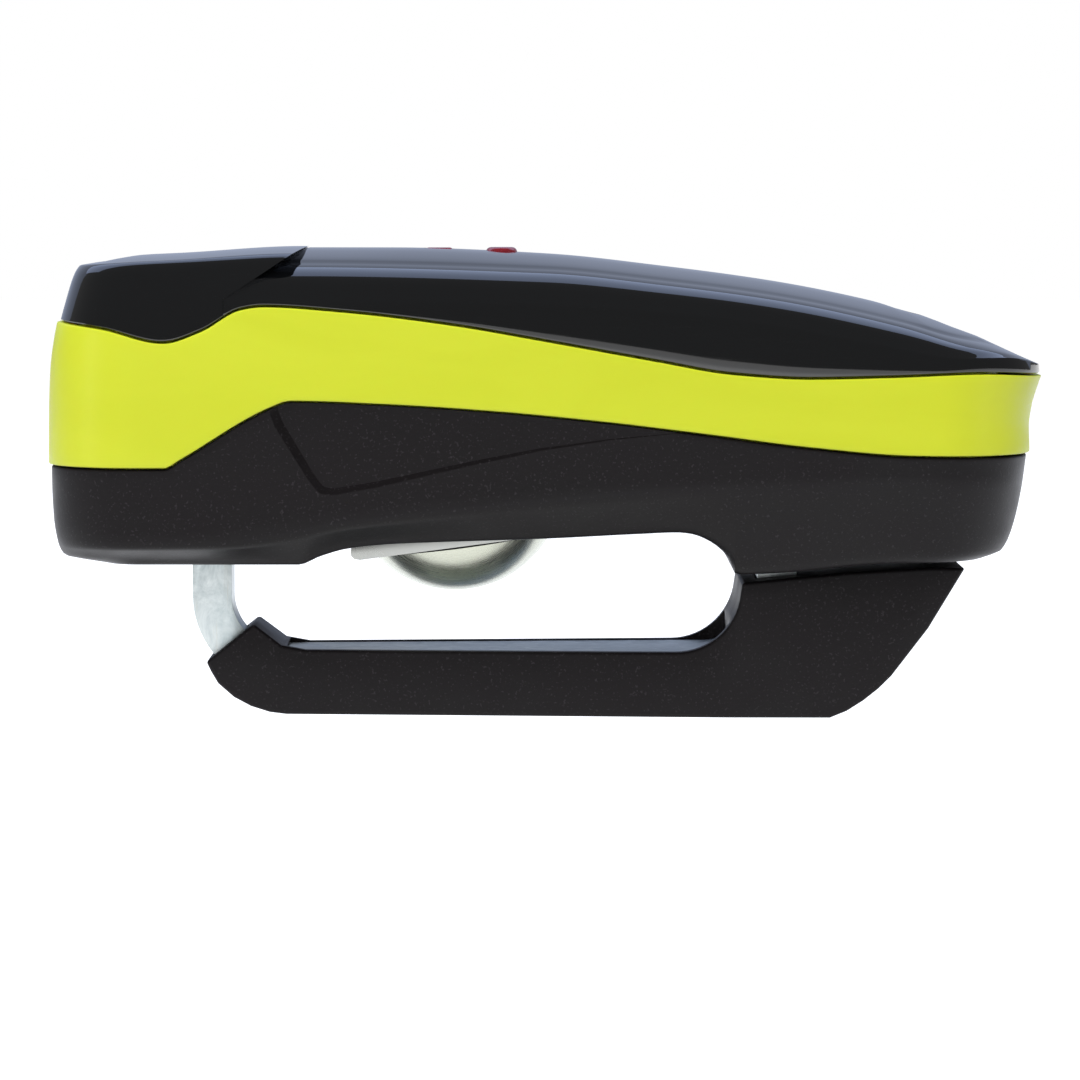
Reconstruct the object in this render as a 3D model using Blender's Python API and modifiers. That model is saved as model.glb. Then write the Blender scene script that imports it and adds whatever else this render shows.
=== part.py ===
"""Disc brake lock with alarm: a bar shackle in a moulded jaw, under a three-layer body.

Lengths in this file are millimetres and are turned to metres where a mesh is made.
X runs along the lock towards its tail, Y from the plain face to the keyed face, Z up from the jaw's sole.
"""

import math

import bmesh
import bpy
from mathutils import Matrix, Vector

MM = 0.001
GAP = 0.3  # clearance between neighbours that touch on the real lock

# Body: plan outline and walls
NOSE_X, TAIL_X = -65.0, 65.0
HALF_WIDTH = 22.4
NOSE_CORNER, TAIL_CORNER = 12.0, 15.0
BAND_PROUD = 0.4
SPINE_NOSE, SPINE_TAIL = -52.0, 46.0

# Shackle: a square bar bent to a U, wider in its run than in its front leg
BAR = 5.2
FRONT_LEG_X, REAR_LEG_X = -44.6, 30.6
FRONT_LEG_TOP, REAR_LEG_TOP = 36.0, 51.0
RUN_Z = 5.85
FRONT_BEND, REAR_BEND = 9.6, 9.8
FRONT_LEG_WIDTH, REAR_LEG_WIDTH = 6.0, 12.0
SHACKLE_TRAVEL = 20.0
RETAINER_Z, RETAINER_RADIUS = 26.5, 1.5
JAW_SCREWS = (-26.0, 12.0)
NOTCH_Z, NOTCH_HEIGHT, NOTCH_DEPTH = 29.0, 5.4, 2.6

# Trigger plate and the domed button it carries
TRIGGER_X, TRIGGER_Z = 7.0, 27.0
TRIGGER_SLOPE = math.radians(7.5)
TRIGGER_THICK, TRIGGER_LENGTH, TRIGGER_HALF = 2.4, 33.0, 12.8
DOME_X, DOME_Z, DOME_RADIUS = -12.2, 30.6, 14.5

# Lock cylinder, its cam and the bolt it drives
CYL_X, CYL_Z = -31.5, 33.0
STATOR_RADIUS, PLUG_RADIUS = 7.4, 6.2
CYL_FACE, CYL_END = 22.9, -5.6
CAM_THROW = 1.768
BLADE_HEIGHT, BLADE_THICK, BLADE_LENGTH = 8.4, 2.5, 27.4

# Power and electronics
CELL_RADIUS, CELL_LENGTH = 5.25, 44.5
CELL_X, CELL_Y, CELL_Z = 4.6, 13.95, 42.0
BOARD_Z = 46.0
BRACKET_Z = 41.2
SCREW_PLACES = ((-56.0, 12.0), (-56.0, -12.0), (53.6, 11.0), (53.6, -11.0))


def through(*points):
    """A smooth curve z(x) through the points that never overshoots them."""
    xs, zs = zip(*points)
    steps = [(zs[i + 1] - zs[i]) / (xs[i + 1] - xs[i]) for i in range(len(xs) - 1)]
    slopes = [steps[0]]
    for a, b in zip(steps, steps[1:]):
        slopes.append(2 * a * b / (a + b) if a * b > 0 else 0.0)
    slopes.append(steps[-1])

    def curve(x):
        x = min(max(x, xs[0]), xs[-1])
        i = max(k for k in range(len(xs) - 1) if xs[k] <= x)
        h = xs[i + 1] - xs[i]
        t = (x - xs[i]) / h
        return (
            (1 + 2 * t) * (1 - t) ** 2 * zs[i]
            + t * (1 - t) ** 2 * h * slopes[i]
            + t * t * (3 - 2 * t) * zs[i + 1]
            + t * t * (t - 1) * h * slopes[i + 1]
        )

    return curve


top_line = through((-66, 60.4), (-49, 61.1), (-33, 62.0), (-20, 62.0), (0, 61.2), (15, 59.6),
                   (31, 57.4), (47, 54.0), (55, 51.4), (59, 49.6), (62.7, 47.9), (65, 46.9))
shoulder_line = through((-66, 55.4), (-20, 55.1), (0, 54.7), (20, 53.3), (33, 51.4), (45, 49.1),
                        (56, 47.3), (66, 46.8))
crest_line = through((-66, 60.2), (-32, 60.2), (0, 59.4), (15, 57.9), (30, 55.9), (46, 52.5),
                     (60, 48.2), (66, 47.1))
band_top = through((-66, 52.6), (-57.5, 51.7), (-49.4, 49.9), (-44.5, 51.4), (-39.4, 54.2),
                   (-36.5, 54.6), (-26, 53.9), (-12.7, 52.3), (0.7, 50.0), (14, 47.6), (24, 45.9),
                   (34, 45.3), (44, 45.5), (56, 45.9), (66, 45.3))
band_bottom = through((-66, 33.6), (-49.2, 33.6), (-47.4, 34.6), (-35.5, 41.5), (-33.0, 42.3),
                      (-19.4, 41.8), (-6, 40.9), (7.4, 39.6), (20.7, 38.0), (34, 36.3), (47.5, 35.2),
                      (66, 35.0))
crease_line = through((-66, 23.3), (-42, 23.5), (-26, 26.1), (0, 29.0), (20, 30.7), (43, 31.6), (66, 31.4))
sole_line = through((-66, 20.8), (-32.3, 20.8), (-29.5, 21.9), (-25.9, 22.9), (-20, 23.5), (0, 24.2),
                    (12, 24.8), (17, 25.0), (18.9, 24.8), (20.6, 24.2), (22.6, 22.9), (23.9, 21.3),
                    (24.7, 19.5), (30, 19.7), (45.8, 21.0), (66, 21.2))
nose_inset = through((20.8, 7.0), (21.8, 1.5), (23.4, 0.75), (26.8, 0.2), (32, 0.0), (41, 0.1),
                     (46, 0.3), (51, 1.0), (55.6, 2.2), (58.8, 3.3), (60.9, 5.0))
tail_inset = through((21.2, 7.4), (22.2, 4.8), (25.7, 3.3), (30.2, 2.35), (33.5, 1.9), (35.6, 1.7),
                     (38.5, 1.8), (41.5, 1.4), (43.5, 0.8), (46.0, 0.1), (60, 0.1))


class Stand:
    """A place on the plan outline: its point, its normal, and how much it faces side, nose and tail."""

    def __init__(self, x, y, nx, ny):
        self.x, self.y, self.nx, self.ny = x, y, nx, ny
        self.side, self.nose, self.tail = ny * ny, max(0.0, -nx) ** 2, max(0.0, nx) ** 2


def corner(cx, cy, radius, start, end, steps):
    for i in range(steps + 1):
        angle = math.radians(start + (end - start) * i / steps)
        nx, ny = math.cos(angle), math.sin(angle)
        yield Stand(cx + radius * nx, cy + radius * ny, nx, ny)


def half_outline(stations):
    """The plain-face half of the plan outline, from the middle of the tail to the middle of the nose."""
    stands = [Stand(TAIL_X, 0.0, 1.0, 0.0)]
    stands += corner(TAIL_X - TAIL_CORNER, TAIL_CORNER - HALF_WIDTH, TAIL_CORNER, 0, -90, 5)
    stands += [Stand(x, -HALF_WIDTH, 0.0, -1.0) for x in stations]
    stands += corner(NOSE_X + NOSE_CORNER, NOSE_CORNER - HALF_WIDTH, NOSE_CORNER, -90, -180, 4)
    stands.append(Stand(NOSE_X, 0.0, -1.0, 0.0))
    return stands


def far_side(stands):
    return [Stand(s.x, -s.y, s.nx, -s.ny) for s in stands]


def moved(stand, inset, z):
    return Vector((stand.x - stand.nx * inset, stand.y - stand.ny * inset, z))


def spine(stand, z_of_x):
    x = min(max(stand.x, SPINE_NOSE), SPINE_TAIL)
    return Vector((x, 0.0, z_of_x(x)))


def between(a, b, share):
    return a + (b - a) * share


def tub_column(s):
    """A column of the lower housing's outer surface, from its rim down over the bevel to the keel."""
    def inset(z, side):
        return s.side * side + s.nose * nose_inset(z) + s.tail * tail_inset(z)

    rim, crease, sole = band_bottom(s.x) - 0.15, crease_line(s.x), sole_line(s.x)
    lip = sole + 1.0
    sole_at_spine = spine(s, sole_line)
    column = [
        moved(s, inset(rim, 0.0), rim),
        moved(s, inset((rim + crease) / 2, 0.0), (rim + crease) / 2),
        moved(s, inset(crease, 0.15), crease),
        moved(s, inset(lip, 4.2), lip),
        moved(s, inset(sole, 5.4), sole),
    ]
    inner = between(column[-1], sole_at_spine, 0.5)
    inner.z = sole_line(inner.x)
    return column + [inner, sole_at_spine]


def band_column(s):
    """A column of the coloured band, which is hollowed at the tail."""
    low, high = band_bottom(s.x) + 0.15, band_top(s.x) - 0.15
    column = []
    for share in (0.0, 0.3, 0.6, 0.85, 1.0):
        z = between(low, high, share)
        inset = s.nose * nose_inset(z) + s.tail * tail_inset(z) - BAND_PROUD
        column.append(moved(s, inset, z))
    return column


def shell_column(s):
    """A column of the glossy top shell: upright side, rounded shoulder, crisp crest, low crown."""
    column = []
    for side_in, rise, end_in in ((0.0, 0.0, 0.1), (0.2, 0.35, 0.3), (1.6, 0.72, 1.2), (4.2, 0.92, 3.6),
                                  (7.4, 1.0, 7.4)):
        place = moved(s, s.side * side_in + (1 - s.side) * end_in, 0.0)
        x = place.x
        foot, shoulder, crest = band_top(s.x) + 0.15, shoulder_line(x), crest_line(x)
        if rise == 0.0:
            side_z = foot
        elif rise == 0.35:
            side_z = max(shoulder, foot + 0.1)
        else:
            side_z = between(shoulder, crest, (rise - 0.35) / 0.65)
        end_z = foot if rise == 0.0 else max(top_line(x) - 0.35, foot + rise)
        place.z = between(end_z, side_z, s.side)
        column.append(place)
    ridge = spine(s, top_line)
    half = between(column[-1], ridge, 0.5)
    half.z = between(crest_line(half.x), top_line(half.x), 0.75 if s.side > 0.5 else 0.9)
    return column + [half, ridge]


def cap_column(s):
    """A column of the nose cap, flatter and more upright than the shell."""
    column = []
    foot, crest = band_top(s.x) + 0.15, top_line(s.x) - 0.7
    for rise, side_in in ((0.0, 0.0), (0.45, 0.5), (0.88, 1.9), (1.0, 3.4)):
        z = between(foot, crest, rise)
        column.append(moved(s, s.side * side_in + s.nose * nose_inset(z) + s.tail * side_in, z))
    ridge = spine(s, top_line)
    half = between(column[-1], ridge, 0.5)
    half.z = top_line(half.x) - 0.3
    return column + [half, ridge]


def new_material(name, colour, roughness, metallic=0.0):
    material = bpy.data.materials.new(name)
    material.use_nodes = True
    shader = material.node_tree.nodes["Principled BSDF"]
    shader.inputs["Base Color"].default_value = (*colour, 1.0)
    shader.inputs["Roughness"].default_value = roughness
    shader.inputs["Metallic"].default_value = metallic
    return material


def clear_scene():
    for obj in list(bpy.data.objects):
        bpy.data.objects.remove(obj, do_unlink=True)


def new_collection(name):
    collection = bpy.data.collections.new(name)
    bpy.context.scene.collection.children.link(collection)
    return collection


clear_scene()
LOCK = new_collection("disc_brake_lock")
CUTTERS = new_collection("cutters")

NYLON = new_material("black_nylon", (0.016, 0.014, 0.015), 0.45)
GLOSS = new_material("gloss_black", (0.008, 0.009, 0.011), 0.12)
LIME = new_material("lime_band", (0.70, 0.80, 0.04), 0.38)
ZINC = new_material("zinc_steel", (0.62, 0.64, 0.63), 0.38, 1.0)
POLISHED = new_material("polished_steel", (0.60, 0.60, 0.57), 0.12, 1.0)
NICKEL = new_material("nickel_key", (0.50, 0.49, 0.46), 0.30, 1.0)
BRASS = new_material("brass", (0.72, 0.55, 0.28), 0.30, 1.0)
STEEL = new_material("dark_steel", (0.30, 0.30, 0.31), 0.35, 1.0)
RUBBER = new_material("rubber", (0.02, 0.02, 0.02), 0.80)
ACETAL = new_material("grey_acetal", (0.42, 0.42, 0.41), 0.45)
BOARD = new_material("circuit_board", (0.02, 0.16, 0.06), 0.40)
JACKET = new_material("cell_jacket", (0.10, 0.16, 0.30), 0.30)
CHIP = new_material("chip_black", (0.03, 0.03, 0.03), 0.50)
RED = new_material("red_lens", (0.45, 0.02, 0.03), 0.10)


def keep(obj, material):
    """Files a finished piece under the lock and gives it its material."""
    for collection in list(obj.users_collection):
        collection.objects.unlink(obj)
    LOCK.objects.link(obj)
    obj.data.materials.clear()
    obj.data.materials.append(material)
    return obj


def tool(obj):
    """Files a cutter, which isn't part of the lock."""
    for collection in list(obj.users_collection):
        collection.objects.unlink(obj)
    CUTTERS.objects.link(obj)
    obj.hide_render = True
    obj.display_type = "WIRE"
    return obj


def object_from(bm, name):
    mesh = bpy.data.meshes.new(name)
    bmesh.ops.recalc_face_normals(bm, faces=bm.faces)
    bm.to_mesh(mesh)
    bm.free()
    obj = bpy.data.objects.new(name, mesh)
    bpy.context.scene.collection.objects.link(obj)
    return obj


def box(name, low, high):
    bm = bmesh.new()
    bmesh.ops.create_cube(bm, size=1.0)
    size = [(b - a) * MM for a, b in zip(low, high)]
    middle = Vector([(a + b) / 2 * MM for a, b in zip(low, high)])
    bmesh.ops.scale(bm, vec=size, verts=bm.verts)
    bmesh.ops.translate(bm, vec=middle, verts=bm.verts)
    return object_from(bm, name)


def rod(name, radius, start, end, sides=24, end_radius=None):
    """A cylinder, or a cone if the end radius differs, from start to end."""
    a, b = Vector(start) * MM, Vector(end) * MM
    bm = bmesh.new()
    tip = radius if end_radius is None else end_radius
    bmesh.ops.create_cone(bm, cap_ends=True, segments=sides, radius1=radius * MM, radius2=tip * MM,
                          depth=(b - a).length)
    turn = (b - a).to_track_quat("Z", "Y").to_matrix().to_4x4()
    bmesh.ops.transform(bm, matrix=Matrix.Translation((a + b) / 2) @ turn, verts=bm.verts)
    obj = object_from(bm, name)
    obj.data.shade_smooth()
    obj.data.set_sharp_from_angle(angle=math.radians(35))
    return obj


def outline_solid(name, outline, low, high, plane="XZ"):
    """A flat outline given thickness across its plane: XZ outlines run in Y, XY outlines in Z."""
    curve = bpy.data.curves.new(name, "CURVE")
    curve.dimensions = "2D"
    curve.fill_mode = "BOTH"
    curve.extrude = (high - low) / 2 * MM
    spline = curve.splines.new("POLY")
    spline.points.add(len(outline) - 1)
    for point, (u, v) in zip(spline.points, outline):
        point.co = (u * MM, v * MM, 0.0, 1.0)
    spline.use_cyclic_u = True
    guide = bpy.data.objects.new(name + "_guide", curve)
    bpy.context.scene.collection.objects.link(guide)
    middle = (low + high) / 2 * MM
    if plane == "XZ":
        guide.matrix_world = Matrix.Translation((0, middle, 0)) @ Matrix.Rotation(math.pi / 2, 4, "X")
    else:
        guide.matrix_world = Matrix.Translation((0, 0, middle))
    bpy.context.view_layer.update()
    graph = bpy.context.evaluated_depsgraph_get()
    mesh = bpy.data.meshes.new_from_object(guide.evaluated_get(graph))
    mesh.transform(guide.matrix_world)
    bpy.data.objects.remove(guide)
    bm = bmesh.new()
    bm.from_mesh(mesh)
    bmesh.ops.remove_doubles(bm, verts=bm.verts, dist=0.01 * MM)
    return object_from(bm, name)


def boolean(obj, other, operation="DIFFERENCE"):
    modifier = obj.modifiers.new(operation.lower(), "BOOLEAN")
    modifier.operation = operation
    modifier.solver = "EXACT"
    modifier.object = tool(other)
    return obj


def cut(obj, *cutters):
    for cutter in cutters:
        boolean(obj, cutter)
    return obj


def join(obj, *others):
    for other in others:
        boolean(obj, other, "UNION")
    return obj


def bevel(obj, width, segments=2, angle=35.0):
    modifier = obj.modifiers.new("bevel", "BEVEL")
    modifier.width = width * MM
    modifier.segments = segments
    modifier.limit_method = "ANGLE"
    modifier.angle_limit = math.radians(angle)
    return obj


def lofted(name, column, lids):
    """A closed solid through columns round the plan outline. A lid is a strip of faces from side to side."""
    near = half_outline(SIDE_STATIONS)
    far = far_side(near)
    bm = bmesh.new()
    near_columns = [[bm.verts.new(p * MM) for p in column(s)] for s in near]
    far_columns = [[bm.verts.new(p * MM) for p in column(s)] for s in far[1:-1]]
    far_columns = [near_columns[0], *far_columns, near_columns[-1]]
    for side in (near_columns, far_columns):
        for a, b in zip(side, side[1:]):
            for j in range(len(a) - 1):
                bm.faces.new((a[j], a[j + 1], b[j + 1], b[j]))
    for end in lids:
        for i in range(len(near) - 1):
            quad = (near_columns[i][end], near_columns[i + 1][end], far_columns[i + 1][end],
                    far_columns[i][end])
            bm.faces.new(list(dict.fromkeys(quad)))
    bmesh.ops.remove_doubles(bm, verts=bm.verts, dist=0.01 * MM)
    bmesh.ops.dissolve_degenerate(bm, edges=bm.edges, dist=0.005 * MM)
    obj = object_from(bm, name)
    obj.data.shade_smooth()
    obj.data.set_sharp_from_angle(angle=math.radians(30))
    return obj


def cavity(name, inset, profile):
    """The space inside the walls: the plan outline drawn in by the inset, kept to an XZ profile."""
    near = half_outline((46, -49.2))
    stands = near + far_side(near)[-2:0:-1]
    plan = [(s.x - s.nx * (inset + 3 * s.tail + s.nose), s.y - s.ny * inset) for s in stands]
    body = outline_solid(name, plan, 0, 80, "XY")
    return boolean(body, outline_solid(name + "_profile", profile, -40, 40), "INTERSECT")


def under(line, drop, low=30):
    """An XZ profile from a low level up to a line, less a drop."""
    return [(x, line(x) - drop) for x in range(-66, 67, 6)] + [(66, low), (-66, low)]


def arc(cx, cz, radius, start, end, steps):
    """Points on an arc, angles in degrees from +X towards +Z."""
    for i in range(steps + 1):
        angle = math.radians(start + (end - start) * i / steps)
        yield (cx + radius * math.cos(angle), cz + radius * math.sin(angle))


def coil(name, centre, radius, wire, turns, low, high, material):
    """A compression spring standing along Z."""
    curve = bpy.data.curves.new(name, "CURVE")
    curve.dimensions = "3D"
    curve.bevel_depth = wire * MM
    curve.bevel_resolution = 1
    curve.use_fill_caps = True
    steps = 10
    spline = curve.splines.new("POLY")
    spline.points.add(turns * steps)
    for i, point in enumerate(spline.points):
        angle = 2 * math.pi * i / steps
        x = centre[0] + radius * math.cos(angle)
        y = centre[1] + radius * math.sin(angle)
        point.co = (x * MM, y * MM, between(low, high, i / (turns * steps)) * MM, 1.0)
    obj = bpy.data.objects.new(name, curve)
    LOCK.objects.link(obj)
    curve.materials.append(material)
    return obj


# --- Body shells ----------------------------------------------------------------------------------

SIDE_STATIONS = (46, 40, 34, 28, 25.2, 24.7, 23.9, 22.6, 20.6, 18.9, 17, 12, 4, -6, -16, -24, -29.5,
                 -32.3, -36, -40, -44.5, -47.4, -49.2)


TUB_UPPER = ((-66, 25.0), (-30, 27.8), (0, 30.6), (30, 32.4), (66, 33.0), (66, 60), (-66, 60))
TUB_LOWER = ((-66, 23.4), (-31.5, 23.4), (-29.5, 24.2), (-26, 25.2), (-20, 25.8), (0, 26.5), (12, 27.1),
             (22.9, 27.1), (25.6, 23.9), (66, 23.9), (66, 60), (-66, 60))


def screw_posts(low, high, bore, bore_top, places):
    posts = [rod(f"post_{i}", 3.1, (x, y, low), (x, y, high), 16) for i, (x, y) in enumerate(places)]
    bores = [rod(f"post_bore_{i}", bore, (x, y, low - 6), (x, y, bore_top), 16) for i,
             (x, y) in enumerate(places)]
    return posts, bores


def make_lower_housing():
    tub = keep(lofted("lower_housing", tub_column, lids=(0,)), NYLON)
    cut(tub, cavity("tub_upper", 2.6, TUB_UPPER), cavity("tub_lower", 6.6, TUB_LOWER))
    nose_posts, nose_bores = screw_posts(22.0, 50.0, 1.7, 51.0, SCREW_PLACES[:2])
    tail_posts, tail_bores = screw_posts(22.4, 43.0, 1.7, 44.0, SCREW_PLACES[2:])
    lugs = [box(f"trigger_lug_{side}", (4.2, y0, 26.0), (9.8, y1, 30.2))
            for side, y0, y1 in (("near", -16.2, -13.9), ("far", 13.9, 16.2))]
    join(tub, *nose_posts, *tail_posts, *lugs)
    recesses = [rod(f"screw_recess_{i}", 3.3, (x, y, 15), (x, y, 22.9), 20) for i,
                (x, y) in enumerate(SCREW_PLACES)]
    cut(
        tub,
        *nose_bores,
        *tail_bores,
        *recesses,
        box("front_leg_hole", (-49.6, -5.4, 15), (-39.6, 5.4, 25)),
        box("rear_leg_hole", (25.5, -8.6, 15), (35.7, 8.6, 25)),
        box("trigger_hole", (-27.4, -13.5, 15), (10.6, 13.5, 29.5)),
        rod("cylinder_hole", STATOR_RADIUS + GAP, (CYL_X, 15, CYL_Z), (CYL_X, 30, CYL_Z), 32),
        rod("trigger_pin_hole", 1.0 + GAP, (TRIGGER_X, -18, TRIGGER_Z), (TRIGGER_X, 18, TRIGGER_Z), 16),
    )
    for i in range(7):
        x = 13.0 + 3.2 * i
        cut(tub, box(f"sound_slot_{i}", (x, 15, 33.6), (x + 1.4, 30, 37.0 - 0.3 * i)))
    return cut(tub, outline_solid("side_panel_cut", SIDE_PANEL, -30, -HALF_WIDTH + 0.5))


SIDE_PANEL = ((-36.2, 46), (-35.4, 39.4), (-30.9, 32.0), (-29.7, 30.6), (-27.8, 30.0), (-21.9, 30.9),
              (-9.3, 33.7), (-0.9, 35.5), (8, 36.9), (16, 37.6), (22, 46))


def make_side_band():
    band = keep(lofted("side_band", band_column, lids=(0, -1)), LIME)
    return cut(band, cavity("band_inside", 2.6, under(top_line, -20, 20)))


CAP_EDGE = ((-41.6, 45), (-41.6, 55.4), (-31.6, 62.1), (-31.0, 70))


def split_region(name, gap, side):
    """The space on one side of the slanted joint between cap and shell."""
    edge = [(x + gap, z) for x, z in CAP_EDGE]
    outer = -90 if side == "nose" else 90
    return outline_solid(name, [(outer, 40), *edge, (outer, 70)], -40, 40)


def make_top_shell():
    shell = keep(lofted("top_shell", shell_column, lids=(0,)), GLOSS)
    cut(shell, cavity("shell_side_space", 2.6, under(shoulder_line, -0.5)),
        cavity("shell_roof_space", 7.4, under(crest_line, 2.2)))
    boolean(shell, split_region("shell_region", 0.15, "tail"), "INTERSECT")
    posts, bores = screw_posts(43.6, 49.5, 1.2, 47.5, SCREW_PLACES[2:])
    join(shell, *posts)
    return cut(
        shell,
        *bores,
        rod("lens_hole", 2.3, (-6, 0, 50), (-6, 0, 70), 24),
        box("window_hole", (-16.4, -1.6, 50), (-12.2, 1.6, 70)),
    )


def make_nose_cap():
    cap = keep(lofted("nose_cap", cap_column, lids=(0,)), GLOSS)
    cut(cap, cavity("cap_side_space", 3.2, under(top_line, 6.0)),
        cavity("cap_roof_space", 5.4, under(top_line, 3.0)))
    boolean(cap, split_region("cap_region", -0.15, "nose"), "INTERSECT")
    posts, bores = screw_posts(50.6, 59.5, 1.2, 57.0, SCREW_PLACES[:2])
    join(cap, *posts)
    return cut(cap, *bores)


# --- Shackle and jaw ------------------------------------------------------------------------------

def bar_outline(grow=0.0, front_top=FRONT_LEG_TOP, rear_top=REAR_LEG_TOP):
    """The U of the bent bar, grown all round by a clearance where it is used as a cutter."""
    half = BAR / 2 + grow
    front_centre = (FRONT_LEG_X + FRONT_BEND, RUN_Z + FRONT_BEND)
    rear_centre = (REAR_LEG_X - REAR_BEND, RUN_Z + REAR_BEND)
    outer = [(FRONT_LEG_X - half, front_top)]
    outer += arc(*front_centre, FRONT_BEND + half, 180, 270, 8)
    outer += arc(*rear_centre, REAR_BEND + half, 270, 360, 8)
    outer.append((REAR_LEG_X + half, rear_top))
    inner = [(REAR_LEG_X - half, rear_top)]
    inner += arc(*rear_centre, REAR_BEND - half, 360, 270, 8)
    inner += arc(*front_centre, FRONT_BEND - half, 270, 180, 8)
    inner.append((FRONT_LEG_X + half, front_top))
    return outer + inner


def bar_plan(grow=0.0):
    """Plan of the bar: a narrow front leg, a run that widens towards the tail, and the rear leg."""
    front, rear = FRONT_LEG_WIDTH / 2 + grow, REAR_LEG_WIDTH / 2 + grow
    near = [(-60, -front), (-38.5, -front), (-36, -5.0 - grow), (22, -8.6 - grow), (25, -8.0 - grow),
            (27, -rear),
            (45, -rear)]
    return near + [(x, -y) for x, y in reversed(near)]


def make_shackle():
    bar = keep(outline_solid("shackle", bar_outline(), -12, 12), ZINC)
    boolean(bar, outline_solid("bar_plan", bar_plan(), -5, 60, "XY"), "INTERSECT")
    notch = box("bolt_notch", (FRONT_LEG_X + BAR / 2 - NOTCH_DEPTH, -10, NOTCH_Z - NOTCH_HEIGHT / 2),
                (FRONT_LEG_X + 10, 10, NOTCH_Z + NOTCH_HEIGHT / 2))
    slot_half = RETAINER_RADIUS + 0.2
    slot = box("retainer_slot", (REAR_LEG_X - 8, -slot_half, RETAINER_Z - slot_half),
               (REAR_LEG_X + 8, slot_half, RETAINER_Z + SHACKLE_TRAVEL + slot_half))
    cut(bar, notch, slot)
    return bevel(bar, 0.5, 1, 50)


JAW_OUTLINE = (
    [(-45.3, 6.9), (-43.7, 4.0), (-41.6, 2.2), (-39.3, 1.0), (-36.8, 0.25), (-34.6, 0.0), (37.4, 0.0),
     (39.6, 0.9),
     (41.8, 2.3), (43.8, 3.9), (45.5, 5.6), (50.3, 11.9), (55.1, 19.9), (50.5, 19.9), (39.9, 19.3),
     (25.8, 17.9)]
    + [(25.6, 15.4), (24.6, 12.8), (22.6, 10.4), (20.0, 9.0), (17.0, 8.6), (-32.0, 8.6), (-35.2, 9.2),
       (-38.9, 12.0)]
)
JAW_PLAN = ((-46, -5.6), (-36, -6.6), (24, -10.8), (56, -11.2), (56, 11.2), (24, 10.8), (-36, 6.6),
            (-46, 5.6))


def make_jaw_cover():
    cover = outline_solid("jaw_cover", JAW_OUTLINE, -14, 14)
    keep(cover, NYLON)
    boolean(cover, outline_solid("jaw_plan", JAW_PLAN, -5, 30, "XY"), "INTERSECT")
    bevel(cover, 1.3, 2, 40)
    pocket = outline_solid("bar_pocket", bar_outline(GAP, 40, 60), -12, 12)
    boolean(pocket, outline_solid("bar_pocket_plan", bar_plan(GAP), -5, 80, "XY"), "INTERSECT")
    trough = outline_solid("trough", [(-34.6, 7.0), (24.2, 7.0), (24.2, 13.0), (-34.6, 13.0)], -12, 12)
    boolean(trough, outline_solid("trough_plan", bar_plan(GAP + 0.1), -5, 30, "XY"), "INTERSECT")
    cut(cover, pocket, trough)
    for i, x in enumerate(JAW_SCREWS):
        cut(cover, rod(f"rivet_recess_{i}", 2.5 + GAP, (x, 0, -3), (x, 0, 1.6), 20))
        cut(cover, rod(f"rivet_bore_{i}", 1.3 + GAP, (x, 0, -3), (x, 0, 6), 16))
    return cover


def make_cover_screws():
    """Two button-head screws that hold the moulded jaw to the bar from below."""
    for i, x in enumerate(JAW_SCREWS):
        screw = keep(rod(f"jaw_screw_{i + 1}", 2.4, (x, 0, 0.25), (x, 0, 1.3), 20), STEEL)
        join(screw, rod(f"jaw_screw_shank_{i}", 1.2, (x, 0, 1.0), (x, 0, RUN_Z - BAR / 2 - GAP), 14))


# --- Trigger --------------------------------------------------------------------------------------

def along_trigger(distance, lift):
    """A point on the trigger plate, measured from its pin towards the nose and up from the plate's middle."""
    ux, uz = -math.cos(TRIGGER_SLOPE), -math.sin(TRIGGER_SLOPE)
    return (TRIGGER_X + distance * ux - lift * uz, TRIGGER_Z - 0.6 + distance * uz - lift * ux)


def make_trigger_plate():
    half = TRIGGER_THICK / 2
    outline = [along_trigger(-2.0, half), along_trigger(TRIGGER_LENGTH, half),
               along_trigger(TRIGGER_LENGTH, -half + 1.2), along_trigger(TRIGGER_LENGTH - 0.4, -half + 0.4),
               along_trigger(TRIGGER_LENGTH - 1.4, -half), along_trigger(-2.0, -half)]
    plate = keep(outline_solid("trigger_plate", outline, -TRIGGER_HALF, TRIGGER_HALF), POLISHED)
    join(plate, rod("trigger_knuckle", 2.2, (TRIGGER_X, -TRIGGER_HALF, TRIGGER_Z),
                    (TRIGGER_X, TRIGGER_HALF, TRIGGER_Z), 20))
    return cut(plate, rod("trigger_bore", 1.15, (TRIGGER_X, -20, TRIGGER_Z), (TRIGGER_X, 20, TRIGGER_Z),
                          16))


def make_sensor_dome():
    bm = bmesh.new()
    bmesh.ops.create_uvsphere(bm, u_segments=36, v_segments=24, radius=DOME_RADIUS * MM)
    bmesh.ops.translate(bm, vec=Vector((DOME_X, 0, DOME_Z)) * MM, verts=bm.verts)
    dome = keep(object_from(bm, "sensor_dome"), POLISHED)
    dome.data.shade_smooth()
    below = -TRIGGER_THICK / 2 - GAP
    region = [along_trigger(-15, below), along_trigger(60, below), along_trigger(60, below - 30),
              along_trigger(-15, below - 30)]
    return boolean(dome, outline_solid("dome_region", region, -20, 20), "INTERSECT")


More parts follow.
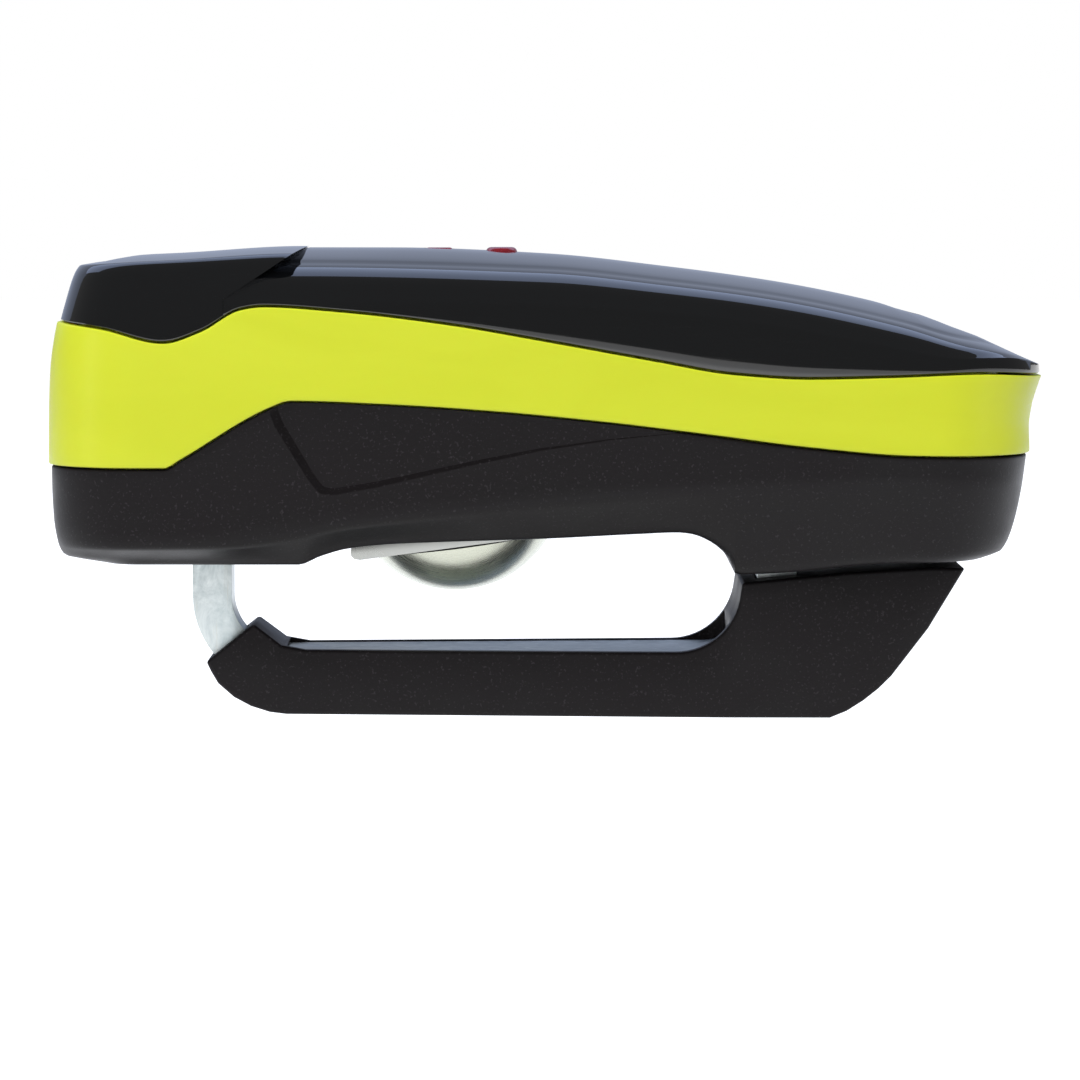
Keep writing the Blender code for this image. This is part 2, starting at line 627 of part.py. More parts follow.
def make_trigger_hardware():
    keep(rod("trigger_pin", 1.0, (TRIGGER_X, -15.9, TRIGGER_Z), (TRIGGER_X, 15.9, TRIGGER_Z), 16), STEEL)
    foot = along_trigger(25.0, TRIGGER_THICK / 2)[1] + 1.1
    coil("trigger_spring", (-17.8, 0), 2.4, 0.35, 7, foot, BRACKET_Z - 0.7, STEEL)
    bracket = keep(box("switch_bracket", (-22, -19.4, BRACKET_Z), (2.2, 19.4, BRACKET_Z + 1.6)), ACETAL)
    join(bracket, *(rod(f"board_pillar_{x}_{y}", 1.6, (x, y, BRACKET_Z + 1), (x, y, BOARD_Z - GAP), 12)
                    for x in (-19, -1) for y in (-15, 15)))
    switch = keep(box("arming_switch", (-8.4, -3.2, 31.0), (2.0, 3.2, BRACKET_Z - GAP)), CHIP)
    cut(switch, rod("plunger_bore", 1.3, (-3, 0, 25), (-3, 0, 34.5), 14))
    keep(rod("switch_plunger", 1.0, (-3, 0, 26.65), (-3, 0, 33.2), 14), ACETAL)


# --- Cylinder, key and bolt -----------------------------------------------------------------------

def turned(name, radius, y0, y1, sides=32):
    return rod(name, radius, (CYL_X, y0, CYL_Z), (CYL_X, y1, CYL_Z), sides)


def make_cylinder():
    stator = keep(turned("cylinder_body", STATOR_RADIUS, CYL_END, CYL_FACE), BRASS)
    cut(stator, turned("plug_bore", PLUG_RADIUS + 0.12, -20, 40))
    plug = keep(turned("cylinder_plug", PLUG_RADIUS, CYL_END, CYL_FACE - 0.2), NICKEL)
    half_high, half_thick = BLADE_HEIGHT / 2 + 0.25, BLADE_THICK / 2 + 0.25
    cut(plug, box("keyway", (CYL_X - half_high, CYL_FACE - BLADE_LENGTH - 0.3, CYL_Z - half_thick),
                  (CYL_X + half_high, 40, CYL_Z + half_thick)))
    clip = keep(turned("cylinder_clip", STATOR_RADIUS + 1.5, 14.2, 15.2), STEEL)
    cut(clip, turned("clip_bore", STATOR_RADIUS + 0.15, 10, 30),
        box("clip_mouth", (CYL_X - 4, 10, CYL_Z), (CYL_X + 4, 30, CYL_Z + 20)))


def make_cam():
    cam = keep(turned("cam_disc", 5.4, CYL_END - 2.9, CYL_END - GAP, 24), STEEL)
    x, z = CYL_X + CAM_THROW * math.sin(math.radians(45)), CYL_Z - CAM_THROW * math.cos(math.radians(45))
    join(cam, rod("cam_peg", 1.0, (x, CYL_END - 5.6, z), (x, CYL_END - 1.0, z), 16))
    return cam


def make_bolt():
    """An L of steel: the nose enters the front leg's notch, and the slotted tail rides on the cam's peg."""
    nose_x = FRONT_LEG_X + BAR / 2 + GAP
    low, high = NOTCH_Z - 2.3, NOTCH_Z + 2.3
    bolt = keep(box("locking_bolt", (nose_x, -11.8, low), (nose_x + 2.4, 3.0, high)), STEEL)
    tail = box("bolt_tail", (nose_x, -11.8, low), (-26.0, -8.9, high))
    ear = box("bolt_ear", (-34.6, -11.8, low + 1), (-26.0, -8.9, 35.4))
    join(bolt, tail, ear)
    peg_x = CYL_X + CAM_THROW * math.sin(math.radians(45))
    cut(bolt, box("peg_slot", (peg_x - 1.3, -15, 30.0), (peg_x + 1.3, -5, 40)))
    guide = keep(box("bolt_guide", (-39.6, -15.5, 26.0), (-22.6, -12.1, 37.4)), ACETAL)
    rail = box("bolt_rail", (-38.0, -12.4, 24.9), (-28.0, -8.9, NOTCH_Z - 2.3 - GAP))
    return join(guide, rail)


def make_key():
    shoulder = CYL_FACE + 0.25
    blade = keep(box("key", (CYL_X - BLADE_HEIGHT / 2, shoulder - BLADE_LENGTH, CYL_Z - BLADE_THICK / 2),
                     (CYL_X + BLADE_HEIGHT / 2, shoulder + 1.0, CYL_Z + BLADE_THICK / 2)), NICKEL)
    bow = [(-6.2, 0), (6.2, 0), (6.2, 6.6), (7.2, 7.6), (9.2, 9.0), (12.3, 9.6), (12.9, 11.0), (13.0, 20),
           (12.7, 27),
           (11.7, 30.3), (10.2, 31.4), (4, 31.9)]
    bow += [(-x, y) for x, y in reversed(bow)]
    plan = [(CYL_X + x, shoulder + y) for x, y in bow]
    head = outline_solid("key_bow", plan, CYL_Z - BLADE_THICK / 2, CYL_Z + BLADE_THICK / 2, "XY")
    join(blade, head)
    cut(blade, rod("key_ring_hole", 3.0, (CYL_X, shoulder + 26.2, 20), (CYL_X, shoulder + 26.2, 50), 24))
    for side in (-1, 1):
        for step in range(6):
            y = shoulder - 5.6 - 3.9 * step
            z = CYL_Z + side * BLADE_THICK / 2
            dimple = rod(f"dimple_{side}_{step}", 0.5, (CYL_X + 2.2 * side, y, z - side * 0.6),
                         (CYL_X + 2.2 * side, y, z + side * 0.4), 10, 1.3)
            cut(blade, dimple)
    return blade


# --- Guides, seals and retainer -------------------------------------------------------------------

def sleeve(name, centre_x, half_x, half_y, bore_x, bore_y, low, high, material):
    outer = keep(box(name, (centre_x - half_x, -half_y, low), (centre_x + half_x, half_y, high)), material)
    return cut(outer, box(name + "_bore", (centre_x - bore_x, -bore_y, low - 5),
                          (centre_x + bore_x, bore_y, high + 5)))


def make_guides():
    front_x, front_y = BAR / 2 + 0.25, FRONT_LEG_WIDTH / 2 + 0.25
    rear_x, rear_y = BAR / 2 + 0.25, REAR_LEG_WIDTH / 2 + 0.25
    sleeve("front_leg_bush", FRONT_LEG_X, 4.6, 5.1, front_x, front_y, 22.1, 25.6, ACETAL)
    sleeve("front_leg_seal", FRONT_LEG_X, 4.6, 5.1, front_x, front_y, 20.9, 21.8, RUBBER)
    guide = sleeve("rear_leg_guide", REAR_LEG_X, 4.8, 8.3, rear_x, rear_y, 21.4, 33.2, ACETAL)
    pin_x = (REAR_LEG_X - 4.8, REAR_LEG_X + 4.8)
    cut(guide, rod("retainer_bore", RETAINER_RADIUS + 0.15, (pin_x[0] - 4, 0, RETAINER_Z),
                   (pin_x[1] + 4, 0, RETAINER_Z), 16))
    sleeve("rear_leg_seal", REAR_LEG_X, 4.8, 8.3, rear_x, rear_y, 20.2, 21.1, RUBBER)
    keep(rod("retaining_pin", RETAINER_RADIUS, (pin_x[0] - 0.6, 0, RETAINER_Z),
             (pin_x[1] + 0.6, 0, RETAINER_Z), 16), STEEL)


# --- Electronics ----------------------------------------------------------------------------------

def make_battery_pack():
    for side, name in ((-1, "battery_near"), (1, "battery_far")):
        y = side * CELL_Y
        cell = keep(rod(name, CELL_RADIUS, (CELL_X, y, CELL_Z), (CELL_X + CELL_LENGTH - 1, y, CELL_Z), 24),
                    JACKET)
        end = CELL_X + CELL_LENGTH - 1 if side > 0 else CELL_X
        join(cell, rod(name + "_button", 1.9, (end - 0.5, y, CELL_Z), (end + 0.5, y, CELL_Z), 12))
    tray = keep(box("battery_tray", (2.6, -19.0, 34.2), (50.2, 19.0, 36.2)), ACETAL)
    join(tray, box("tray_front_wall", (2.6, -19.0, 35.5), (3.6, 19.0, 44.0)),
         box("tray_back_wall", (49.5, -18.0, 35.5), (50.2, 18.0, 43.0)))
    cut(tray, box("tray_hole", (25.0, -9.0, 30), (36.3, 9.0, 40)))
    near = keep(box("battery_contacts", (3.75, -18.5, 38.5), (4.0, -9.5, 45.5)), BRASS)
    join(near, *(box(f"contact_{i}", low, high) for i, (low, high) in enumerate((
        ((3.75, -18.5, 45.2), (4.0, 18.5, 45.5)), ((3.75, 9.5, 38.5), (4.0, 18.5, 45.5)))))
    )
    tail = keep(box("battery_bus", (48.95, -18.0, 39.5), (49.2, -9.5, 43.0)), BRASS)
    join(tail, box("bus_strip", (48.95, -18.0, 42.6), (49.2, 18.0, 43.0)),
         box("bus_far", (48.95, 9.5, 42.0), (49.2, 18.0, 43.0)))


def make_electronics():
    board = keep(box("circuit_board", (-38, -17, BOARD_Z), (1.4, 17, BOARD_Z + 1.6)), BOARD)
    cut(board, *(rod(f"board_hole_{i}", 1.2, (x, y, 40), (x, y, 60), 12) for i,
                 (x, y) in enumerate(((-36, 15), (-36, -15)))))
    siren = keep(rod("siren", 10.5, (-21, 0, BOARD_Z + 1.9), (-21, 0, BOARD_Z + 9.4), 32), CHIP)
    cut(siren, rod("siren_mouth", 2.2, (-21, 0, BOARD_Z + 5), (-21, 0, BOARD_Z + 12), 16))
    keep(box("motion_sensor", (-6.4, -13, BOARD_Z + 1.9), (-1.4, -8, BOARD_Z + 4.1)), CHIP)
    keep(box("alarm_chip", (-7.4, 5.4, BOARD_Z + 1.9), (-0.4, 12.4, BOARD_Z + 3.4)), CHIP)
    lens = keep(rod("led_lens", 2.1, (-6, 0, 58.4), (-6, 0, 61.6), 24), RED)
    join(lens, rod("light_pipe", 1.2, (-6, 0, BOARD_Z + 3.0), (-6, 0, 59), 14))
    dome = rod("lens_dome", 2.1, (-6, 0, 61.5), (-6, 0, 61.95), 24, 1.2)
    join(lens, dome)
    keep(box("status_window", (-16.1, -1.3, 59.4), (-12.5, 1.3, 61.85)), RED)


def make_screws():
    """Four long screws from below, each into a boss of the nose cap or the top shell."""
    for i, (x, y) in enumerate(SCREW_PLACES):
        tip = 56.0 if x < 0 else 46.0
        screw = keep(rod(f"housing_screw_{i + 1}", 2.8, (x, y, 21.2), (x, y, 22.7), 20), STEEL)
        join(screw, rod(f"screw_shank_{i}", 1.1, (x, y, 22.0), (x, y, tip), 12))
        cut(screw, rod(f"screw_socket_{i}", 1.1, (x, y, 20), (x, y, 22.1), 6))


make_lower_housing()
make_side_band()
make_top_shell()
make_nose_cap()
make_shackle()
make_jaw_cover()
make_cover_screws()
make_trigger_plate()
make_sensor_dome()
make_trigger_hardware()
make_cylinder()
make_cam()
make_bolt()
make_key()
make_guides()
make_battery_pack()
make_electronics()
make_screws()
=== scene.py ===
import math

import bmesh
import bpy
from bpy.props import FloatProperty, FloatVectorProperty, PointerProperty
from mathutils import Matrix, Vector


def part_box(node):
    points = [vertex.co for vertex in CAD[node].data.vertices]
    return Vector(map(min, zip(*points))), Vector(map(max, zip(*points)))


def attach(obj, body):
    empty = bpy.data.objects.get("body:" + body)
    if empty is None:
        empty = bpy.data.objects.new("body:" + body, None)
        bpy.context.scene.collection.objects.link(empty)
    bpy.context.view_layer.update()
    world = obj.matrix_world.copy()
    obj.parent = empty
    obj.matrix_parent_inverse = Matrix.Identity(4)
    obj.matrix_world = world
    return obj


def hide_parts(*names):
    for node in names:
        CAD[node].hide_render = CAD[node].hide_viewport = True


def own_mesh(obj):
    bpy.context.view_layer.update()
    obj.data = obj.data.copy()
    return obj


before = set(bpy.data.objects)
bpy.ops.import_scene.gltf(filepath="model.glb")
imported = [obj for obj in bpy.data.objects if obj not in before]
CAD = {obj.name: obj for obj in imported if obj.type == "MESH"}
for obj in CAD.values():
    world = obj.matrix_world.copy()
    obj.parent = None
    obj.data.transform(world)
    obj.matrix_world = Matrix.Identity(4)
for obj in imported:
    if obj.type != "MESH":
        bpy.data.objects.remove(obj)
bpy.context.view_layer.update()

bl_info = {
    "name": "Disc brake lock",
    "version": (1, 0, 0),
    "blender": (4, 5, 0),
    "location": "View3D > Sidebar > Disc lock",
    "description": "Builds the visible pieces of a motorcycle disc brake lock over its frame",
    "category": "Object",
}

MM = 0.001

# --------------------------------------------------------------------------------------------------
# Colour and nodes


def srgb(code):
    """A hex colour as Blender's linear one, opaque."""
    parts = [int(code[i:i + 2], 16) / 255 for i in (1, 3, 5)]
    return (*[c / 12.92 if c <= 0.04045 else ((c + 0.055) / 1.055) ** 2.4 for c in parts], 1.0)


def node(tree, kind, settings=None, inputs=None):
    """Adds a node. An input that is a socket is linked, and anything else is its value."""
    made = tree.nodes.new(kind)
    for name, value in (settings or {}).items():
        setattr(made, name, value)
    for key, value in (inputs or {}).items():
        if isinstance(value, bpy.types.NodeSocket):
            tree.links.new(value, made.inputs[key])
        else:
            made.inputs[key].default_value = value
    return made


def finish_of(name, colour, roughness, metallic=0.0, ior=1.5, **more):
    """A Principled material, with its tree and its shader. Plain values go on the shader's own sockets."""
    material = bpy.data.materials.new(name)
    material.use_nodes = True
    tree = material.node_tree
    shader = tree.nodes["Principled BSDF"]
    plain = {"Base Color": colour, "Roughness": roughness, "Metallic": metallic, "IOR": ior}
    for key, value in more.items():
        plain[key.replace("_", " ").title().replace("Ior", "IOR")] = value
    for key, value in plain.items():
        shader.inputs[key].default_value = value
    return material, tree, shader


def ramp(tree, factor, stops):
    """A colour ramp from (position, value) pairs, as grey."""
    made = node(tree, "ShaderNodeValToRGB", inputs={"Fac": factor})
    bands = made.color_ramp.elements
    while len(bands) < len(stops):
        bands.new(0.5)
    for band, (position, value) in zip(bands, stops):
        band.position = position
        band.color = (value, value, value, 1.0)
    return made.outputs["Color"]


def scaled(tree, sizes):
    """Object coordinates in units of the given sizes, one per axis, in millimetres."""
    coordinates = node(tree, "ShaderNodeTexCoord").outputs["Object"]
    mapping = {"Vector": coordinates, "Scale": [1000 / size for size in sizes]}
    return node(tree, "ShaderNodeMapping", inputs=mapping).outputs["Vector"]


def noise(tree, sizes, detail=3.0, roughness=0.5, distortion=0.0):
    """Noise on Object coordinates, with features of about the given sizes in millimetres."""
    settings = {"Vector": scaled(tree, sizes), "Scale": 1.0, "Detail": detail, "Roughness": roughness,
                "Distortion": distortion}
    return node(tree, "ShaderNodeTexNoise", inputs=settings).outputs["Fac"]


def blend_colour(tree, factor, low, high):
    """Mixes two colours by the factor. Each of the three may be a socket or a value."""
    made = node(tree, "ShaderNodeMix", {"data_type": "RGBA"})
    for socket, value in zip([made.inputs[0], made.inputs[6], made.inputs[7]], (factor, low, high)):
        if isinstance(value, bpy.types.NodeSocket):
            tree.links.new(value, socket)
        else:
            socket.default_value = value
    return made.outputs[2]


def bump(tree, shader, height, strength, depth_mm):
    """Raises the surface by the height pattern, to a depth in millimetres."""
    settings = {"Height": height, "Strength": strength, "Distance": depth_mm * MM}
    made = node(tree, "ShaderNodeBump", inputs=settings)
    tree.links.new(made.outputs["Normal"], shader.inputs["Normal"])


# --------------------------------------------------------------------------------------------------
# Sizes and colours


class LockFinish(bpy.types.PropertyGroup):
    band: FloatVectorProperty(name="Band", description="Colour of the band round the body", subtype="COLOR",
                              size=4, default=srgb("#D3DE26"))
    body: FloatVectorProperty(name="Body", description="Colour of the moulded nylon", subtype="COLOR",
                              size=4, default=srgb("#1B191B"))
    shell: FloatVectorProperty(name="Shell", description="Colour of the glossy shell and nose cap",
                               subtype="COLOR", size=4, default=srgb("#0B0C0E"))
    zinc: FloatVectorProperty(name="Zinc", description="Colour of the plated shackle", subtype="COLOR",
                              size=4, default=srgb("#C9D0D0"))


class LockSizes(bpy.types.PropertyGroup):
    edge: FloatProperty(name="Edge radius", description="Radius on the shells' rims", subtype="DISTANCE",
                        default=0.22 * MM, min=0.1 * MM, max=0.8 * MM)
    grain: FloatProperty(name="Grain", description="Spacing of the nylon's moulded grain",
                        subtype="DISTANCE", default=0.5 * MM, min=0.2 * MM, max=2 * MM)
    panel: FloatProperty(name="Panel depth", description="Depth of the recess in the side",
                        subtype="DISTANCE", default=0.7 * MM, min=0.0, max=1.2 * MM)


def sizes():
    return bpy.context.scene.lock_sizes


def colours():
    return bpy.context.scene.lock_finish


# --------------------------------------------------------------------------------------------------
# The body's lines in millimetres, the same ones that the solids are drawn on: heights given along X, and
# how far the two ends are drawn in, given along Z

NOSE_X, TAIL_X, HALF_WIDTH = -65.0, 65.0, 22.4
NOSE_CORNER, TAIL_CORNER = 12.0, 15.0
WALL, BAND_WALL, ROOF_INSET, POST_RADIUS = 2.6, 2.95, 7.4, 3.1
SPINE_NOSE, SPINE_TAIL = -52.0, 46.0
GAP = 0.3


def through(*points):
    """A smooth curve z(x) through the points that never overshoots them."""
    xs, zs = zip(*points)
    steps = [(zs[i + 1] - zs[i]) / (xs[i + 1] - xs[i]) for i in range(len(xs) - 1)]
    slopes = [steps[0]]
    for a, b in zip(steps, steps[1:]):
        slopes.append(2 * a * b / (a + b) if a * b > 0 else 0.0)
    slopes.append(steps[-1])

    def curve(x):
        x = min(max(x, xs[0]), xs[-1])
        i = max(k for k in range(len(xs) - 1) if xs[k] <= x)
        h = xs[i + 1] - xs[i]
        t = (x - xs[i]) / h
        return (
            (1 + 2 * t) * (1 - t) ** 2 * zs[i]
            + t * (1 - t) ** 2 * h * slopes[i]
            + t * t * (3 - 2 * t) * zs[i + 1]
            + t * t * (t - 1) * h * slopes[i + 1]
        )

    return curve


top_line = through((-66, 60.4), (-49, 61.1), (-33, 62.0), (-20, 62.0), (0, 61.2), (15, 59.6),
                   (31, 57.4), (47, 54.0), (55, 51.4), (59, 49.6), (62.7, 47.9), (65, 46.9))
shoulder_line = through((-66, 55.4), (-20, 55.1), (0, 54.7), (20, 53.3), (33, 51.4), (45, 49.1),
                        (56, 47.3), (66, 46.8))
crest_line = through((-66, 60.2), (-32, 60.2), (0, 59.4), (15, 57.9), (30, 55.9), (46, 52.5),
                     (60, 48.2), (66, 47.1))
band_top = through((-66, 52.6), (-57.5, 51.7), (-49.4, 49.9), (-44.5, 51.4), (-39.4, 54.2),
                   (-36.5, 54.6), (-26, 53.9), (-12.7, 52.3), (0.7, 50.0), (14, 47.6), (24, 45.9),
                   (34, 45.3), (44, 45.5), (56, 45.9), (66, 45.3))
band_bottom = through((-66, 33.6), (-49.2, 33.6), (-47.4, 34.6), (-35.5, 41.5), (-33.0, 42.3),
                      (-19.4, 41.8), (-6, 40.9), (7.4, 39.6), (20.7, 38.0), (34, 36.3), (47.5, 35.2),
                      (66, 35.0))
crease_line = through((-66, 23.3), (-42, 23.5), (-26, 26.1), (0, 29.0), (20, 30.7), (43, 31.6), (66, 31.4))
sole_line = through((-66, 20.8), (-32.3, 20.8), (-29.5, 21.9), (-25.9, 22.9), (-20, 23.5), (0, 24.2),
                    (12, 24.8), (17, 25.0), (18.9, 24.8), (20.6, 24.2), (22.6, 22.9), (23.9, 21.3),
                    (24.7, 19.5), (30, 19.7), (45.8, 21.0), (66, 21.2))
nose_inset = through((20.8, 7.0), (21.8, 1.5), (23.4, 0.75), (26.8, 0.2), (32, 0.0), (41, 0.1),
                     (46, 0.3), (51, 1.0), (55.6, 2.2), (58.8, 3.3), (60.9, 5.0))
tail_inset = through((21.2, 7.4), (22.2, 4.8), (25.7, 3.3), (30.2, 2.35), (33.5, 1.9), (35.6, 1.7),
                     (38.5, 1.8), (41.5, 1.4), (43.5, 0.8), (46.0, 0.1), (60, 0.1))


def between(a, b, share):
    return a + (b - a) * share


def spread(a, b, count):
    return [between(a, b, i / count) for i in range(count)]


def plan_outline(stations):
    """The plan outline as (x, y, normal x, normal y), from the middle of the tail round the plain side."""
    half = [(TAIL_X, y, 1.0, 0.0) for y in spread(0, TAIL_CORNER - HALF_WIDTH, 5)]
    for centre_x, centre_y, radius, start, count in (
        (TAIL_X - TAIL_CORNER, TAIL_CORNER - HALF_WIDTH, TAIL_CORNER, 0, 22),
        (NOSE_X + NOSE_CORNER, NOSE_CORNER - HALF_WIDTH, NOSE_CORNER, -90, 20),
    ):
        if start:
            half += [(x, -HALF_WIDTH, 0.0, -1.0) for x in stations]
        for i in range(count + 1):
            angle = math.radians(start - 90 * i / count)
            nx, ny = math.cos(angle), math.sin(angle)
            half.append((centre_x + radius * nx, centre_y + radius * ny, nx, ny))
    half += [(NOSE_X, y, -1.0, 0.0) for y in spread(NOSE_CORNER - HALF_WIDTH, 0, 6)[1:]]
    half.append((NOSE_X, 0.0, -1.0, 0.0))
    return half + [(x, -y, nx, -ny) for x, y, nx, ny in reversed(half[1:-1])]


STATIONS = [49.3 - 0.8 * i for i in range(128)]


def rounded(points, radii, steps):
    """A polyline of 2D points with its inner corners rounded, always with the same number of points."""
    made = [Vector(points[0])]
    for i in range(1, len(points) - 1):
        before, here, after = Vector(points[i - 1]), Vector(points[i]), Vector(points[i + 1])
        reach_in = min(radii[i - 1], 0.48 * (before - here).length)
        reach_out = min(radii[i - 1], 0.48 * (after - here).length)
        a = here + (before - here).normalized() * reach_in
        b = here + (after - here).normalized() * reach_out
        for j in range(steps + 1):
            t = j / steps
            made.append((1 - t) ** 2 * a + 2 * t * (1 - t) * here + t * t * b)
    made.append(Vector(points[-1]))
    return made


def filled(points, counts):
    """The same polyline with its straight stretches divided, so that they bend with the surface."""
    made = []
    for (a, b), count in zip(zip(points, points[1:]), counts):
        made += [a.lerp(b, i / count) for i in range(count)]
    return made + [points[-1]]


def side_weights(nx, ny):
    return ny * ny, max(0.0, -nx) ** 2, max(0.0, nx) ** 2


# --------------------------------------------------------------------------------------------------
# Tools for making pieces


def deselect():
    if bpy.context.mode != "OBJECT":
        bpy.ops.object.mode_set(mode="OBJECT")
    bpy.ops.object.select_all(action="DESELECT")


def added(name):
    """The primitive that was just added, with its place moved into its mesh."""
    obj = bpy.context.active_object
    obj.name = obj.data.name = name
    bpy.ops.object.transform_apply(location=True, rotation=True, scale=True)
    return obj


def block(name, low, high):
    deselect()
    centre = [(a + b) / 2 * MM for a, b in zip(low, high)]
    bpy.ops.mesh.primitive_cube_add(size=1.0, location=centre,
                                    scale=[(b - a) * MM for a, b in zip(low, high)])
    return added(name)


def round_bar(name, radius, start, end, sides=64):
    deselect()
    a, b = Vector(start) * MM, Vector(end) * MM
    turn = (b - a).to_track_quat("Z", "Y").to_euler()
    bpy.ops.mesh.primitive_cylinder_add(vertices=sides, radius=radius * MM, depth=(b - a).length,
                                        location=(a + b) / 2, rotation=turn)
    return added(name)


def cone_bar(name, r_start, r_end, start, end, sides=48):
    deselect()
    a, b = Vector(start) * MM, Vector(end) * MM
    turn = (b - a).to_track_quat("Z", "Y").to_euler()
    bpy.ops.mesh.primitive_cone_add(vertices=sides, radius1=r_start * MM, radius2=r_end * MM,
                                    depth=(b - a).length, location=(a + b) / 2, rotation=turn)
    return added(name)


def apply_all(obj):
    deselect()
    bpy.context.view_layer.objects.active = obj
    obj.select_set(True)
    for modifier in list(obj.modifiers):
        bpy.ops.object.modifier_apply(modifier=modifier.name)


def cut(obj, *cutters, operation="DIFFERENCE"):
    for cutter in cutters:
        modifier = obj.modifiers.new("cut", "BOOLEAN")
        modifier.operation, modifier.solver, modifier.object = operation, "EXACT", cutter
        apply_all(obj)
        bpy.data.objects.remove(cutter)
    return obj


def soften(obj, width, segments=3, angle=40.0):
    """Rounds the crisp edges."""
    modifier = obj.modifiers.new("soften", "BEVEL")
    modifier.width, modifier.segments = width * MM, segments
    modifier.limit_method, modifier.angle_limit = "ANGLE", math.radians(angle)
    apply_all(obj)
    return smooth(obj)


def smooth(obj, angle=35.0):
    deselect()
    obj.select_set(True)
    bpy.context.view_layer.objects.active = obj
    bpy.ops.object.shade_smooth_by_angle(angle=math.radians(angle))
    return obj


def edit(obj):
    """Opens the mesh for changes in code, which done writes back."""
    bm = bmesh.new()
    bm.from_mesh(obj.data)
    return bm


def done(obj, bm):
    """Writes the changes back, with the faces pointing out."""
    bmesh.ops.recalc_face_normals(bm, faces=bm.faces)
    bm.to_mesh(obj.data)
    bm.free()
    obj.data.update()
    return obj


def swept(name, columns, lids):
    """A grid whose points are moved onto the columns and closed round. A lid closes it across."""
    deselect()
    around, up = len(columns), len(columns[0])
    bpy.ops.mesh.primitive_grid_add(x_subdivisions=around, y_subdivisions=up - 1, size=1.0)
    obj = added(name)
    bm = edit(obj)
    bm.verts.ensure_lookup_table()
    grid = sorted(bm.verts, key=lambda v: (round(v.co.y * (up - 1) * 2), v.co.x))
    rows = [grid[j * (around + 1):(j + 1) * (around + 1)] for j in range(up)]
    for j, row in enumerate(rows):
        for i, vert in enumerate(row):
            vert.co = columns[i % around][j] * MM
    for j in lids:
        row = rows[j]
        half = around // 2
        for i in range(half):
            corners = [row[i], row[i + 1], row[around - i - 1], row[around - i]]
            bm.faces.new(list(dict.fromkeys(corners)))
    bmesh.ops.remove_doubles(bm, verts=bm.verts, dist=0.002 * MM)
    bmesh.ops.dissolve_degenerate(bm, edges=bm.edges, dist=0.001 * MM)
    return done(obj, bm)


def outline_block(name, outline, low, high, plane="XZ"):
    """A flat outline given thickness: XZ outlines run in Y, and XY outlines in Z."""
    deselect()
    bpy.ops.mesh.primitive_circle_add(vertices=len(outline), radius=1.0, fill_type="NGON")
    obj = added(name)
    bm = edit(obj)
    bm.verts.ensure_lookup_table()
    face = next(iter(bm.faces))
    for vert, (u, v) in zip(list(face.verts), outline):
        vert.co = Vector((u, low, v)) * MM if plane == "XZ" else Vector((u, v, low)) * MM
    step = Vector((0, high - low, 0)) if plane == "XZ" else Vector((0, 0, high - low))
    new = bmesh.ops.extrude_face_region(bm, geom=[face])["geom"]
    bmesh.ops.translate(bm, vec=step * MM, verts=[g for g in new if isinstance(g, bmesh.types.BMVert)])
    return done(obj, bm)


def arc(cx, cz, radius, start, end, steps):
    angles = [math.radians(between(start, end, i / steps)) for i in range(steps + 1)]
    return [(cx + radius * math.cos(angle), cz + radius * math.sin(angle)) for angle in angles]


def place(obj, body, kind, *stands_for):
    """Hands a finished piece to its body, with its finish and the frame's nodes it stands for."""
    obj.data.materials.clear()
    obj.data.materials.append(finish(kind))
    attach(obj, body)
    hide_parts(*stands_for)
    return obj


def dress(material, *names):
    """Gives frame nodes that keep their own shape a material."""
    for name in names:
        obj = CAD[name]
        obj.data.materials.clear()
        obj.data.materials.append(material)
        for polygon in obj.data.polygons:
            polygon.material_index = 0


# --------------------------------------------------------------------------------------------------
# Finishes


def moulded_nylon():
    """Glass-filled nylon from a spark-eroded mould: near black, with a fine grain."""
    material, tree, shader = finish_of("moulded_nylon", colours().body, 0.42, ior=1.53,
                                       specular_ior_level=0.16)
    grain_mm = sizes().grain * 1000
    grain = noise(tree, [grain_mm] * 3, detail=4, roughness=0.65)
    cloud = noise(tree, [9, 9, 6], detail=2)
    speck = ramp(tree, noise(tree, [0.35] * 3, detail=1), ((0.62, 0.0), (0.76, 1.0)))
    warm = blend_colour(tree, cloud, srgb("#100E0F"), srgb("#181517"))
    tree.links.new(blend_colour(tree, speck, warm, srgb("#2C292C")), shader.inputs["Base Color"])
    tree.links.new(ramp(tree, cloud, ((0.3, 0.36), (0.75, 0.50))), shader.inputs["Roughness"])
    bump(tree, shader, grain, 0.35, 0.05)
    return material


def gloss_abs():
    """ABS from a polished mould: black, mirror smooth, with a moulding's faint waves and hairlines."""
    material, tree, shader = finish_of("gloss_abs", colours().shell, 0.07, ior=1.54, coat_weight=0.6,
                                       coat_roughness=0.03)
    wave = noise(tree, [14, 14, 14], detail=1)
    hair = ramp(tree, noise(tree, [8, 0.25, 0.6], detail=3), ((0.55, 0.05), (0.85, 0.13)))
    tree.links.new(hair, shader.inputs["Roughness"])
    bump(tree, shader, wave, 0.12, 0.12)
    return material


def lime_abs():
    """Satin lime ABS: strong even colour, a touch deeper in the flow marks, with a very fine texture."""
    material, tree, shader = finish_of("lime_abs", colours().band, 0.36, ior=1.54, specular_ior_level=0.4,
                                       subsurface_weight=0.06, subsurface_scale=0.004)
    flow = noise(tree, [26, 12, 9], detail=3, distortion=0.6)
    tree.links.new(blend_colour(tree, flow, srgb("#D6E022"), srgb("#E3ED34")), shader.inputs["Base Color"])
    fine = noise(tree, [0.4] * 3, detail=3)
    tree.links.new(ramp(tree, fine, ((0.3, 0.30), (0.7, 0.42))), shader.inputs["Roughness"])
    bump(tree, shader, fine, 0.12, 0.03)
    return material


